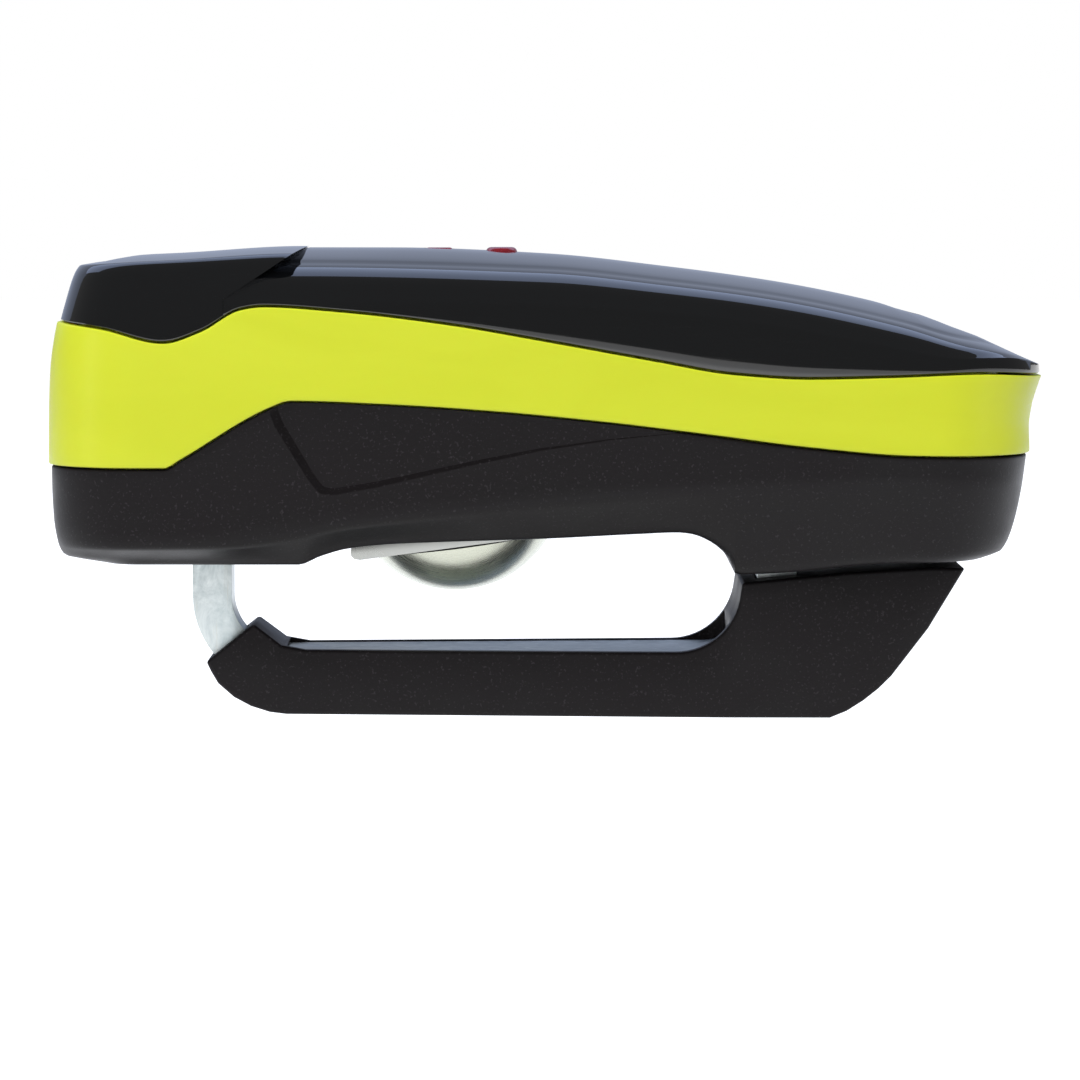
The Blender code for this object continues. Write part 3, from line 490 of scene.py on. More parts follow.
def zinc_plate():
    """Bright zinc on steel bar: pale, in soft patches of a few millimetres, with a trace of draw lines."""
    material, tree, shader = finish_of("zinc_plate", colours().zinc, 0.34, metallic=1.0)
    patch = noise(tree, [3.2, 3.2, 4.5], detail=4, roughness=0.7, distortion=0.8)
    drawn = noise(tree, [0.35, 0.35, 9], detail=3)
    tint = blend_colour(tree, ramp(tree, patch, ((0.3, 0.0), (0.7, 1.0))), srgb("#9DA8A9"), srgb("#DDE3E2"))
    tree.links.new(blend_colour(tree, ramp(tree, drawn, ((0.6, 0.0), (0.95, 0.5))), tint, srgb("#B9AE8C")),
                   shader.inputs["Base Color"])
    tree.links.new(ramp(tree, patch, ((0.25, 0.26), (0.8, 0.48))), shader.inputs["Roughness"])
    bump(tree, shader, drawn, 0.15, 0.03)
    return material


def polished_steel():
    """Steel polished on a wheel: grey, mirror-like, with faint fine scratches round it."""
    material, tree, shader = finish_of("polished_steel", srgb("#C6C9BB"), 0.30, metallic=1.0)
    scratch = noise(tree, [6, 0.12, 2], detail=4, roughness=0.7)
    tree.links.new(ramp(tree, scratch, ((0.4, 0.24), (0.8, 0.38))), shader.inputs["Roughness"])
    bump(tree, shader, scratch, 0.08, 0.01)
    return material


def satin_plate():
    """Rolled stainless strip, satin, with fine rolling streaks in its grey."""
    material, tree, shader = finish_of("satin_strip", srgb("#C4C6C2"), 0.30, metallic=1.0)
    rolled = noise(tree, [12, 0.2, 4], detail=3)
    tree.links.new(blend_colour(tree, rolled, srgb("#8F908C"), srgb("#B9BAB5")),
                   shader.inputs["Base Color"])
    tree.links.new(ramp(tree, rolled, ((0.3, 0.24), (0.8, 0.40))), shader.inputs["Roughness"])
    bump(tree, shader, rolled, 0.1, 0.02)
    return material


def nickel_silver():
    """Nickel silver, cast and tumbled: warm grey, with a dimpled skin on a scale of about a millimetre."""
    material, tree, shader = finish_of("nickel_silver", srgb("#9A9791"), 0.34, metallic=1.0)
    skin = noise(tree, [1.1, 1.1, 1.1], detail=3, roughness=0.6, distortion=1.2)
    tree.links.new(blend_colour(tree, skin, srgb("#86837E"), srgb("#ABA8A2")), shader.inputs["Base Color"])
    tree.links.new(ramp(tree, skin, ((0.3, 0.28), (0.75, 0.44))), shader.inputs["Roughness"])
    bump(tree, shader, skin, 0.5, 0.08)
    return material


def turned_metal(name, low, high, rough):
    """Turned or milled metal with tool marks a quarter of a millimetre apart."""
    pitch = 0.25
    material, tree, shader = finish_of(name, srgb(high), rough, metallic=1.0)
    marks = noise(tree, [pitch, 5, pitch * 8], detail=3)
    tree.links.new(blend_colour(tree, marks, srgb(low), srgb(high)), shader.inputs["Base Color"])
    tree.links.new(ramp(tree, marks, ((0.3, rough - 0.06), (0.8, rough + 0.1))), shader.inputs["Roughness"])
    bump(tree, shader, marks, 0.12, 0.02)
    return material


def plain_plastic(name, low, high, rough, grain_mm=0.5):
    """A small moulding: even colour with a slight cloud and grain."""
    material, tree, shader = finish_of(name, srgb(high), rough, ior=1.48)
    cloud = noise(tree, [5, 5, 5], detail=2)
    tree.links.new(blend_colour(tree, cloud, srgb(low), srgb(high)), shader.inputs["Base Color"])
    bump(tree, shader, noise(tree, [grain_mm] * 3, detail=3), 0.15, 0.03)
    return material


def tinted_lens():
    """Red polycarbonate over a lamp: clear, glossy and deep in colour."""
    material, tree, shader = finish_of("red_lens", srgb("#8E1220"), 0.06, ior=1.58,
                                       transmission_weight=0.35, coat_weight=0.5, coat_roughness=0.03)
    depth = noise(tree, [1.5, 1.5, 1.5], detail=2)
    tree.links.new(blend_colour(tree, depth, srgb("#7A0C1B"), srgb("#B1283A")), shader.inputs["Base Color"])
    return material


def solder_mask():
    """Green solder mask over copper tracks about half a millimetre wide."""
    material, tree, shader = finish_of("solder_mask", srgb("#0F5A2C"), 0.28, ior=1.5)
    pattern = {"Vector": scaled(tree, [4, 4, 4]), "Color1": srgb("#0F5A2C"), "Color2": srgb("#126332"),
               "Mortar": srgb("#1F7A45"), "Scale": 1.0, "Mortar Size": 0.06}
    tracks = node(tree, "ShaderNodeTexBrick", {"offset": 0.5}, pattern)
    tree.links.new(tracks.outputs["Color"], shader.inputs["Base Color"])
    bump(tree, shader, tracks.outputs["Fac"], 0.2, 0.04)
    return material


# Each finish's maker, and the record's material slot that it fills.
FINISHES = {
    "nylon": (moulded_nylon, "black_nylon"),
    "gloss": (gloss_abs, "gloss_black"),
    "lime": (lime_abs, "lime_band"),
    "zinc": (zinc_plate, "zinc_steel"),
    "polished": (polished_steel, "polished_steel"),
    "satin": (satin_plate, "polished_steel"),
    "nickel": (nickel_silver, "nickel_silver"),
    "plug": (lambda: turned_metal("nickelled_brass", "#A8A49A", "#CFCBC0", 0.24), "plug_nickel"),
    "brass": (lambda: turned_metal("turned_brass", "#B08C45", "#D8BC78", 0.26), "brass"),
    "steel": (lambda: turned_metal("blackened_steel", "#3A3A3C", "#66676A", 0.34), "dark_steel"),
    "rubber": (lambda: plain_plastic("nitrile_rubber", "#0E0E0E", "#1A1A1A", 0.75, 0.3), "rubber"),
    "acetal": (lambda: plain_plastic("natural_acetal", "#A9A8A3", "#C4C3BE", 0.42), "grey_acetal"),
    "board": (solder_mask, "board_green"),
    "jacket": (lambda: plain_plastic("cell_jacket", "#22375E", "#2C4676", 0.25, 0.8), "cell_jacket"),
    "chip": (lambda: plain_plastic("component_black", "#121212", "#1F1F1F", 0.5, 0.25), "chip_black"),
    "lens": (tinted_lens, "red_lens"),
}
MADE = {}


def finish(kind):
    """Each finish is made once and shared."""
    if kind not in MADE:
        MADE[kind] = FINISHES[kind][0]()
    return MADE[kind]


# --------------------------------------------------------------------------------------------------
# Body shells


def columns_of(profile_at, spine_line=None, floor_shares=()):
    """Columns round the plan outline. A profile point is (inset at the side, height, inset at the ends)."""
    columns = []
    for x, y, nx, ny in plan_outline(STATIONS):
        side, nose, tail = side_weights(nx, ny)
        column = []
        for inset, z, end in profile_at(x):
            total = side * inset + nose * (nose_inset(z) + end) + tail * (tail_inset(z) + end)
            column.append(Vector((x - nx * total, y - ny * total, z)))
        if spine_line:
            last = column[-1].copy()
            spine_x = min(max(x, SPINE_NOSE), SPINE_TAIL)
            for share in floor_shares:
                place_x = between(last.x, spine_x, share)
                column.append(Vector((place_x, last.y * (1 - share),
                                      between(last.z, spine_line(place_x), min(1, share * 3)))))
        columns.append(column)
    return columns


# A rounded corner's stretches, which stay undivided when the straight ones are filled.
CORNER_STEPS = 3
CORNER = [1] * CORNER_STEPS


def tub_profile(x):
    rim, crease, sole, edge = band_bottom(x) - 0.15, crease_line(x), sole_line(x), sizes().edge * 1000
    points = [(1.0, rim, 1.0), (0.0, rim, 0.0), (0.15, crease, 0.0), (4.2, sole + 1.0, 0.0),
              (5.4, sole, 0.0), (7.2, sole, 1.8)]
    turned_in = rounded(points, (edge, 0.9, 1.4, 0.5), CORNER_STEPS)
    return filled(turned_in, [1, *CORNER, 9, *CORNER, 6, *CORNER, 1, *CORNER, 1])


def band_profile(x):
    low, high, edge = band_bottom(x) + 0.15, band_top(x) - 0.15, sizes().edge * 1000
    points = [(0.8, low, 0.8), (-0.4, low, -0.4), (-0.4, high, -0.4), (0.8, high, 0.8)]
    return filled(rounded(points, (edge, edge), CORNER_STEPS), [1, *CORNER, 14, *CORNER, 1])


def prism(name, inset, profile):
    """The plan outline drawn in by the inset, kept to an XZ profile."""
    plan = [(x - nx * (inset + 3 * max(0, nx) ** 2 + max(0, -nx) ** 2), y - ny * inset)
            for x, y, nx, ny in plan_outline((46, 20, -20, -49))]
    body = outline_block(name, plan, 0, 80, "XY")
    return cut(body, outline_block(name + "_profile", profile, -40, 40), operation="INTERSECT")


def under(line, drop, low=30):
    return [(x, line(x) - drop) for x in range(-66, 67, 6)] + [(66, low), (-66, low)]


TUB_UPPER = ((-66, 25.0), (-30, 27.8), (0, 30.6), (30, 32.4), (66, 33.0), (66, 60), (-66, 60))
TUB_LOWER = ((-66, 23.4), (-31.5, 23.4), (-29.5, 24.2), (-26, 25.2), (-20, 25.8), (0, 26.5), (12, 27.1),
             (22.9, 27.1), (25.6, 23.9), (66, 23.9), (66, 60), (-66, 60))
SCREW_PLACES = ((-56.0, 12.0), (-56.0, -12.0), (53.6, 11.0), (53.6, -11.0))
CYL_X, CYL_Z, STATOR_RADIUS = -31.5, 33.0, 7.4

PANEL_EDGE = ((-36.6, 46), (-35.9, 40.6), (-35.3, 39.0), (-31.2, 32.1), (-30.2, 30.7), (-29.4, 30.0),
              (-28.4, 29.75), (-27.0, 29.85), (-21.9, 30.7), (-9.3, 33.5), (-0.9, 35.3), (8, 36.8),
              (16, 37.8), (22, 39), (24, 46))
PANEL_FLOOR = ((-35.2, 46), (-34.6, 41.0), (-34.0, 39.6), (-30.1, 33.0), (-29.3, 31.9), (-28.7, 31.3),
               (-28.0, 31.15), (-26.9, 31.2), (-21.9, 32.0), (-9.3, 34.7), (-0.9, 36.3), (8, 37.5),
               (16, 38.2), (21.9, 39.2), (23.9, 46))


def panel_recess():
    """The shallow panel in the plain side: deepest at its rounded corner, running out towards the tail."""
    cutter = outline_block("panel_recess", PANEL_EDGE, -24.0, -21.5)
    depth = sizes().panel * 1000
    for vert in cutter.data.vertices:
        here = (vert.co.x / MM, vert.co.z / MM)
        nearest = min(range(len(PANEL_EDGE)), key=lambda i: math.dist(here, PANEL_EDGE[i]))
        if vert.co.y > -22 * MM:
            x, z = PANEL_FLOOR[nearest]
            inward = depth * max(0.0, 1 - (x + 30) / 52)
            vert.co = Vector((x, -HALF_WIDTH + inward - 0.01, z)) * MM
        else:
            edge, floor = Vector(PANEL_EDGE[nearest]), Vector(PANEL_FLOOR[nearest])
            out = edge + (edge - floor) * 1.6
            vert.co = Vector((out.x, -24.0, out.y)) * MM
    return cutter


class LOCK_OT_lower_housing(bpy.types.Operator):
    """Moulds the lower housing: rim, bevelled sides, sole, panel and every opening through it"""
    bl_idname = "lock.lower_housing"
    bl_label = "Lower housing"

    def execute(self, context):
        shares = (0.04, 0.12, 0.3, 0.6, 1.0)
        tub = swept("housing_moulding", columns_of(tub_profile, sole_line, shares), lids=(0,))
        cut(tub, prism("tub_upper", WALL, TUB_UPPER), prism("tub_lower", 6.6, TUB_LOWER))
        for i, (x, y) in enumerate(SCREW_PLACES):
            low, high = (22.0, 50.0) if x < 0 else (22.4, 43.0)
            cut(tub, round_bar("post", POST_RADIUS, (x, y, low), (x, y, high), 32), operation="UNION")
            cut(tub, round_bar("bore", 1.7, (x, y, low - 6), (x, y, high + 1), 32))
            cut(tub, round_bar("recess", 3.3, (x, y, 15), (x, y, 22.9), 40))
        for y0, y1 in ((-16.2, -13.9), (13.9, 16.2)):
            cut(tub, block("lug", (4.2, y0, 26.0), (9.8, y1, 30.2)), operation="UNION")
        cut(
            tub,
            block("front_leg_hole", (-49.6, -5.4, 15), (-39.6, 5.4, 25)),
            block("rear_leg_hole", (25.5, -8.6, 15), (35.7, 8.6, 25)),
            soften(block("trigger_hole", (-27.4, -13.5, 15), (10.6, 13.5, 29.5)), 1.2, 4),
            round_bar("cylinder_hole", STATOR_RADIUS + GAP, (CYL_X, 15, CYL_Z), (CYL_X, 30, CYL_Z), 72),
            round_bar("pin_hole", 1.0 + GAP, (7.0, -18, 27.0), (7.0, 18, 27.0), 24),
            panel_recess(),
        )
        for i in range(7):
            x, top = 13.0 + 3.2 * i, 37.0 - 0.3 * i
            slot = block("sound_slot", (x, 15, 33.6), (x + 1.4, 30, top))
            cut(tub, soften(slot, 0.65, 4))
        place(smooth(tub, 30), "housing", "nylon", "lower_housing")
        return {"FINISHED"}


LIP_HEIGHT = 1.2


class LOCK_OT_side_band(bpy.types.Operator):
    """Moulds the coloured band that runs right round the body, with a lip behind each seam"""
    bl_idname = "lock.side_band"
    bl_label = "Side band"

    def execute(self, context):
        band = swept("band_moulding", columns_of(band_profile), lids=(0, -1))
        cut(band, prism("band_inside", BAND_WALL, under(top_line, -20, 20)))
        stops = range(-66, 67, 4)
        edges = [(x, band_top(x) + LIP_HEIGHT) for x in stops]
        edges += [(x, band_bottom(x) - LIP_HEIGHT) for x in reversed(stops)]
        lip = cut(prism("seam_lip", WALL + 0.05, edges),
                  prism("lip_inside", BAND_WALL, under(top_line, -20, 20)))
        cut(band, lip, operation="UNION")
        place(smooth(band, 30), "housing", "lime", "side_band")
        return {"FINISHED"}


shell_rise = through((0.2, 0.0), (1.6, 0.569), (4.2, 0.877), (7.4, 1.0))
shell_end = through((0.2, 0.3), (1.6, 1.2), (4.2, 3.6), (7.4, 7.4))
RIDGE_SHARES = (0.08, 0.2, 0.35, 0.5, 0.65, 0.82, 1.0)


def run_to_spine(column, x, crested, power):
    """Runs a column on up to the middle line. The crested share of its start follows the crest."""
    start = column[-1].copy()
    spine = Vector((min(max(x, SPINE_NOSE), SPINE_TAIL), 0, 0))
    for share in RIDGE_SHARES:
        at = start.lerp(spine, share)
        low = between(start.z, crest_line(at.x), crested)
        at.z = between(low, top_line(at.x), 1 - (1 - share) ** power)
        column.append(at)


def shell_columns():
    """Upright side, a shoulder that turns in, a soft crest and a low crown."""
    columns = []
    edge = sizes().edge * 1000
    for x, y, nx, ny in plan_outline(STATIONS):
        side = ny * ny
        foot = band_top(x) + 0.15
        column = []
        feet = rounded([(1.0, 0.0), (0.0, 0.0), (0.1, 1.2)], (edge,), CORNER_STEPS)
        for inset, lift in feet[:-1]:
            column.append(Vector((x - nx * inset, y - ny * inset, foot + lift)))
        walls = [(between(0.05, 0.2, share), share) for share in (0.25, 0.5, 0.75, 0.93)]
        for inset, share in walls:
            at = Vector((x - nx * inset, y - ny * inset, 0))
            shoulder = max(shoulder_line(at.x), foot + 0.7)
            at.z = between(max(top_line(at.x) - 0.35, foot + 0.6 + 0.3 * share),
                           between(foot + 0.5, shoulder, share), side)
            column.append(at)
        for inset in (0.22, 0.32, 0.5, 0.75, 1.05, 1.45, 1.95, 2.6, 3.4, 4.4, 5.6, 6.8, 7.4):
            rise = shell_rise(inset)
            total = side * inset + (1 - side) * shell_end(inset)
            at = Vector((x - nx * total, y - ny * total, 0))
            shoulder = max(shoulder_line(at.x), foot + 0.7)
            crest = max(crest_line(at.x), shoulder + 0.2)
            at.z = between(max(top_line(at.x) - 0.35, foot + 0.9), between(shoulder, crest, rise), side)
            column.append(at)
        run_to_spine(column, x, side, between(3.0, 2.0, side))
        columns.append(column)
    return columns


def cap_columns():
    """The nose cap: upright walls that lean in a little, a rounded rim and a nearly flat top."""
    columns = []
    edge = sizes().edge * 1000
    for x, y, nx, ny in plan_outline(STATIONS):
        side, nose, tail = side_weights(nx, ny)
        foot, crest = band_top(x) + 0.15, top_line(x) - 0.7
        points = [(1.0, foot), (0.0, foot), (0.5, between(foot, crest, 0.45)),
                  (1.7, between(foot, crest, 0.90)), (2.8, crest), (4.6, crest + 0.12)]
        profile = filled(rounded(points, (edge, 2.0, 0.9, 0.5), CORNER_STEPS),
                         [1, *CORNER, 3, *CORNER, 3, *CORNER, 1, *CORNER, 1])
        column = []
        for i, (inset, z) in enumerate(profile):
            end = 1.0 if i == 0 else max(0.0, inset - 2.8)
            total = side * inset + nose * (nose_inset(z) + end) + tail * inset
            column.append(Vector((x - nx * total, y - ny * total, z)))
        run_to_spine(column, x, 0.0, 2.5)
        columns.append(column)
    return columns


def relax_crown(shell, passes=10):
    """Evens out the crown, most of all over the tail, where the columns fan in to the spine's end."""
    bm = edit(shell)
    crown = [v for v in bm.verts if v.co.x < 57 * MM and v.co.z > (crest_line(v.co.x / MM) - 0.4) * MM
             and abs(v.co.y) < 16 * MM]
    for _ in range(passes):
        bmesh.ops.smooth_vert(bm, verts=crown, factor=0.5, use_axis_z=True)
    return done(shell, bm)


CAP_EDGE = ((-41.6, 45), (-41.6, 55.4), (-31.6, 62.1), (-31.0, 70))
JOINT_GAP = 0.04


def split(obj, shift, outer):
    """Keeps what lies on one side of the slanted joint between the cap and the shell."""
    edge = [(x + shift, z) for x, z in CAP_EDGE]
    region = outline_block("region", [(outer, 40)] + edge + [(outer, 70)], -40, 40)
    return cut(obj, region, operation="INTERSECT")


class LOCK_OT_upper_shells(bpy.types.Operator):
    """Moulds the glossy top shell and the nose cap, with the slanted joint between them"""
    bl_idname = "lock.upper_shells"
    bl_label = "Top shell and nose cap"

    def execute(self, context):
        shell = relax_crown(swept("shell_moulding", shell_columns(), lids=(0,)))
        cut(shell, prism("shell_side_space", WALL, under(shoulder_line, -0.5)),
            prism("shell_roof_space", ROOF_INSET, under(crest_line, 2.2)))
        split(shell, JOINT_GAP / 2, 90)
        for x, y in SCREW_PLACES[2:]:
            cut(shell, round_bar("post", POST_RADIUS, (x, y, 43.6), (x, y, 48.2), 24), operation="UNION")
            cut(shell, round_bar("bore", 1.2, (x, y, 38), (x, y, 47.5), 24))
        cut(shell, round_bar("lens_hole", 2.25, (-6, 0, 50), (-6, 0, 70), 48),
            soften(block("window_hole", (-16.3, -1.5, 50), (-12.3, 1.5, 70)), 0.5, 3))
        place(smooth(shell, 28), "housing", "gloss", "top_shell")
        cap = swept("cap_moulding", cap_columns(), lids=(0,))
        cut(cap, prism("cap_side_space", 3.2, under(top_line, 6.0)),
            prism("cap_roof_space", 5.4, under(top_line, 3.0)))
        split(cap, -JOINT_GAP / 2, -90)
        for x, y in SCREW_PLACES[:2]:
            cut(cap, round_bar("post", POST_RADIUS, (x, y, 50.6), (x, y, 59.2), 24), operation="UNION")
            cut(cap, round_bar("bore", 1.2, (x, y, 44), (x, y, 57), 24))
        place(smooth(cap, 28), "housing", "gloss", "nose_cap")
        return {"FINISHED"}


# --------------------------------------------------------------------------------------------------
# Shackle and jaw

BAR, FRONT_LEG_X, REAR_LEG_X, RUN_Z = 5.2, -44.6, 30.6, 5.85
FRONT_BEND, REAR_BEND, FRONT_LEG_TOP, REAR_LEG_TOP = 9.6, 9.8, 36.0, 51.0
NOTCH = ((-44.6, -10, 26.3), (-34.6, 10, 31.7))


def bar_outline(grow=0.0, front_top=FRONT_LEG_TOP, rear_top=REAR_LEG_TOP):
    """The U of the bent bar, grown all round by a clearance where it is used as a cutter."""
    half, steps = BAR / 2 + grow, 28
    front = (FRONT_LEG_X + FRONT_BEND, RUN_Z + FRONT_BEND)
    rear = (REAR_LEG_X - REAR_BEND, RUN_Z + REAR_BEND)
    return (
        [(FRONT_LEG_X - half, front_top)] + arc(*front, FRONT_BEND + half, 180, 270, steps)
        + arc(*rear, REAR_BEND + half, 270, 360, steps)
        + [(REAR_LEG_X + half, rear_top), (REAR_LEG_X - half, rear_top)]
        + arc(*rear, REAR_BEND - half, 360, 270, steps) + arc(*front, FRONT_BEND - half, 270, 180, steps)
        + [(FRONT_LEG_X + half, front_top)]
    )


def bar_plan(grow=0.0):
    front, rear = 3.0 + grow, 6.0 + grow
    near = [(-60, -front), (-38.5, -front), (-36, -5.0 - grow), (22, -8.6 - grow), (25, -8.0 - grow),
            (27, -rear), (45, -rear)]
    return near + [(x, -y) for x, y in reversed(near)]


class LOCK_OT_shackle(bpy.types.Operator):
    """Bends the shackle from square bar: front leg with the bolt's notch, run, and slotted rear leg"""
    bl_idname = "lock.shackle"
    bl_label = "Shackle"

    def execute(self, context):
        bar = outline_block("shackle_bar", bar_outline(), -12, 12)
        cut(bar, outline_block("plan", bar_plan(), -5, 60, "XY"), operation="INTERSECT")
        slot = block("slot", (REAR_LEG_X - 8, -1.7, 24.8), (REAR_LEG_X + 8, 1.7, 48.2))
        cut(bar, block("notch", *NOTCH), soften(slot, 1.6, 6))
        place(soften(bar, 0.55, 4, 50), "shackle", "zinc", "shackle")
        return {"FINISHED"}


JAW_OUTLINE = [
    (-45.3, 6.9), (-44.6, 5.5), (-43.7, 4.0), (-41.6, 2.2), (-39.3, 1.0), (-36.8, 0.25), (-34.6, 0.0),
    (37.4, 0.0), (39.6, 0.9), (41.8, 2.3), (43.8, 3.9), (45.5, 5.6), (50.3, 11.9), (55.1, 19.9),
    (50.5, 19.9), (39.9, 19.3), (25.8, 17.9), *arc(17.0, 17.2, 8.6, 0, -90, 16)[1:],
    (-32.0, 8.6), (-35.2, 9.2), (-38.9, 12.0),
]
JAW_PLAN = ((-46, -5.6), (-36, -6.6), (24, -10.8), (56, -11.2), (56, 11.2), (24, 10.8), (-36, 6.6),
            (-46, 5.6))
JAW_SCREWS = (-26.0, 12.0)


class LOCK_OT_jaw_cover(bpy.types.Operator):
    """Moulds the jaw over the bar: tapered in plan, edges rounded, with a channel that shows the steel"""
    bl_idname = "lock.jaw_cover"
    bl_label = "Jaw cover"

    def execute(self, context):
        cover = outline_block("jaw_moulding", JAW_OUTLINE, -14, 14)
        cut(cover, outline_block("plan", JAW_PLAN, -5, 30, "XY"), operation="INTERSECT")
        soften(cover, 1.45, 5, 38)
        pocket = outline_block("pocket", bar_outline(GAP, 40, 60), -12, 12)
        cut(pocket, outline_block("plan", bar_plan(GAP), -5, 80, "XY"), operation="INTERSECT")
        channel = block("channel", (-34.6, -12, 7.0), (24.2, 12, 13.0))
        cut(channel, outline_block("plan", bar_plan(GAP + 0.1), -5, 30, "XY"), operation="INTERSECT")
        cut(cover, pocket, channel)
        for x in JAW_SCREWS:
            cut(cover, round_bar("recess", 2.8, (x, 0, -3), (x, 0, 1.6), 40),
                round_bar("bore", 1.6, (x, 0, -3), (x, 0, 6), 24))
        place(smooth(cover, 32), "shackle", "nylon", "jaw_cover")
        return {"FINISHED"}


def socket_screw(name, place_at, radius, head, shank, tip, socket):
    """A button-head screw standing along Z: rounded head, hexagon socket, shank with rings for threads."""
    x, y = place_at
    made = round_bar(name, radius, (x, y, head[0]), (x, y, head[1]), 48)
    soften(made, 0.35, 4)
    cut(made, round_bar("shank", shank, (x, y, head[1] - 0.3), (x, y, tip), 24), operation="UNION")
    rings = int((tip - head[1] - 1.0) / 0.9)
    for i in range(min(rings, 3)):
        z = tip - 0.9 - 0.9 * i
        cut(made, cone_bar("thread", shank - 0.02, shank + 0.16, (x, y, z), (x, y, z + 0.35), 24),
            operation="UNION")
    cut(made, round_bar("socket", socket, (x, y, head[0] - 2), (x, y, head[0] + 0.75), 6))
    return smooth(made, 30)


class LOCK_OT_screws(bpy.types.Operator):
    """Puts in the four housing screws and the two jaw screws, seen from below in their recesses"""
    bl_idname = "lock.screws"
    bl_label = "Screws"

    def execute(self, context):
        for i, (x, y) in enumerate(SCREW_PLACES):
            tip = 56.0 if x < 0 else 46.0
            made = socket_screw(f"body_screw_{i + 1}", (x, y), 2.8, (21.2, 22.7), 0.95, tip, 1.25)
            place(made, "housing", "steel", f"housing_screw_{i + 1}")
        for i, x in enumerate(JAW_SCREWS):
            made = socket_screw(f"cover_screw_{i + 1}", (x, 0), 2.4, (0.25, 1.3), 1.1, 2.5, 1.1)
            place(made, "shackle", "steel", f"jaw_screw_{i + 1}")
        return {"FINISHED"}


# --------------------------------------------------------------------------------------------------
# Trigger

TRIGGER_X, TRIGGER_Z, TRIGGER_SLOPE = 7.0, 27.0, math.radians(7.5)
TRIGGER_LENGTH, TRIGGER_THICK, TRIGGER_HALF = 33.0, 2.4, 12.8
DOME = (-12.2, 0.0, 30.6)
DOME_RADIUS = 14.5
SPRING_BOX = [Vector(corner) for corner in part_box("trigger_spring")]
# The plate rises this far under the spring at full tilt.
SPRING_X, PLATE_RISE = -17.8, 1.9


def along_trigger(distance, lift):
    ux, uz = -math.cos(TRIGGER_SLOPE), -math.sin(TRIGGER_SLOPE)
    return (TRIGGER_X + distance * ux - lift * uz, TRIGGER_Z - 0.6 + distance * uz - lift * ux)


def wound_spring(name, centre, radius, wire, turns, low, high):
    """A compression spring along Z: a round of wire screwed up into a coil, with its ends closed."""
    deselect()
    bpy.ops.mesh.primitive_circle_add(vertices=12, radius=wire * MM, fill_type="NGON",
                                      location=(radius * MM, 0, 0), rotation=(math.radians(90), 0, 0))
    spring = added(name)
    rise = high - low - 2 * wire
    screw = spring.modifiers.new("wind", "SCREW")
    screw.axis, screw.iterations, screw.steps, screw.render_steps = "Z", turns, 32, 32
    screw.screw_offset = rise / turns * MM
    apply_all(spring)
    for vert in spring.data.vertices:
        vert.co += Vector((*centre, low + wire)) * MM
    bm = edit(spring)
    inner = [face for face in bm.faces if len(face.verts) > 4]
    bmesh.ops.delete(bm, geom=inner, context="FACES_ONLY")
    bmesh.ops.holes_fill(bm, edges=[edge for edge in bm.edges if edge.is_boundary], sides=0)
    return smooth(done(spring, bm), 50)


class LOCK_OT_trigger(bpy.types.Operator):
    """Presses the trigger plate, turns the polished dome under it and winds the return spring"""
    bl_idname = "lock.trigger"
    bl_label = "Trigger, dome and spring"

    def execute(self, context):
        half, far = TRIGGER_THICK / 2, TRIGGER_LENGTH
        flat = [(-2, half), (far, half), (far, -half + 1.2), (far - 0.15, -half + 0.7),
                (far - 0.6, -half + 0.25), (far - 1.4, -half), (-2, -half)]
        outline = [along_trigger(*p) for p in flat]
        plate = outline_block("trigger_strip", outline, -TRIGGER_HALF, TRIGGER_HALF)
        ends = [(TRIGGER_X, side * TRIGGER_HALF, TRIGGER_Z) for side in (-1, 1)]
        cut(plate, round_bar("knuckle", 2.2, *ends, 48), operation="UNION")
        cut(plate, round_bar("bore", 1.15, (TRIGGER_X, -20, TRIGGER_Z), (TRIGGER_X, 20, TRIGGER_Z), 32))
        place(soften(plate, 0.25, 3, 45), "trigger", "satin", "trigger_plate")
        deselect()
        bpy.ops.mesh.primitive_uv_sphere_add(segments=96, ring_count=64, radius=DOME_RADIUS * MM,
                                             location=[c * MM for c in DOME])
        dome = added("dome_button")
        below = -half - GAP
        kept = ((-15, below), (60, below), (60, below - 30), (-15, below - 30))
        region = [along_trigger(*p) for p in kept]
        cut(dome, outline_block("region", region, -20, 20), operation="INTERSECT")
        place(smooth(dome, 40), "trigger", "polished", "sensor_dome")
        low, high = (corner.z / MM for corner in SPRING_BOX)
        spring = wound_spring("return_spring", (SPRING_X, 0), 2.4, 0.35, 7, low, high)
        place(spring, "housing", "steel", "trigger_spring")
        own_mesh(spring)
        return {"FINISHED"}


# --------------------------------------------------------------------------------------------------
# Cylinder and key

CYL_FACE, PLUG_RADIUS, CYL_END = 22.9, 6.2, -5.6
BLADE_HEIGHT, BLADE_THICK, BLADE_LENGTH = 8.4, 2.5, 27.4


def turned_ring(name, radius, y0, y1):
    return round_bar(name, radius, (CYL_X, y0, CYL_Z), (CYL_X, y1, CYL_Z), 96)


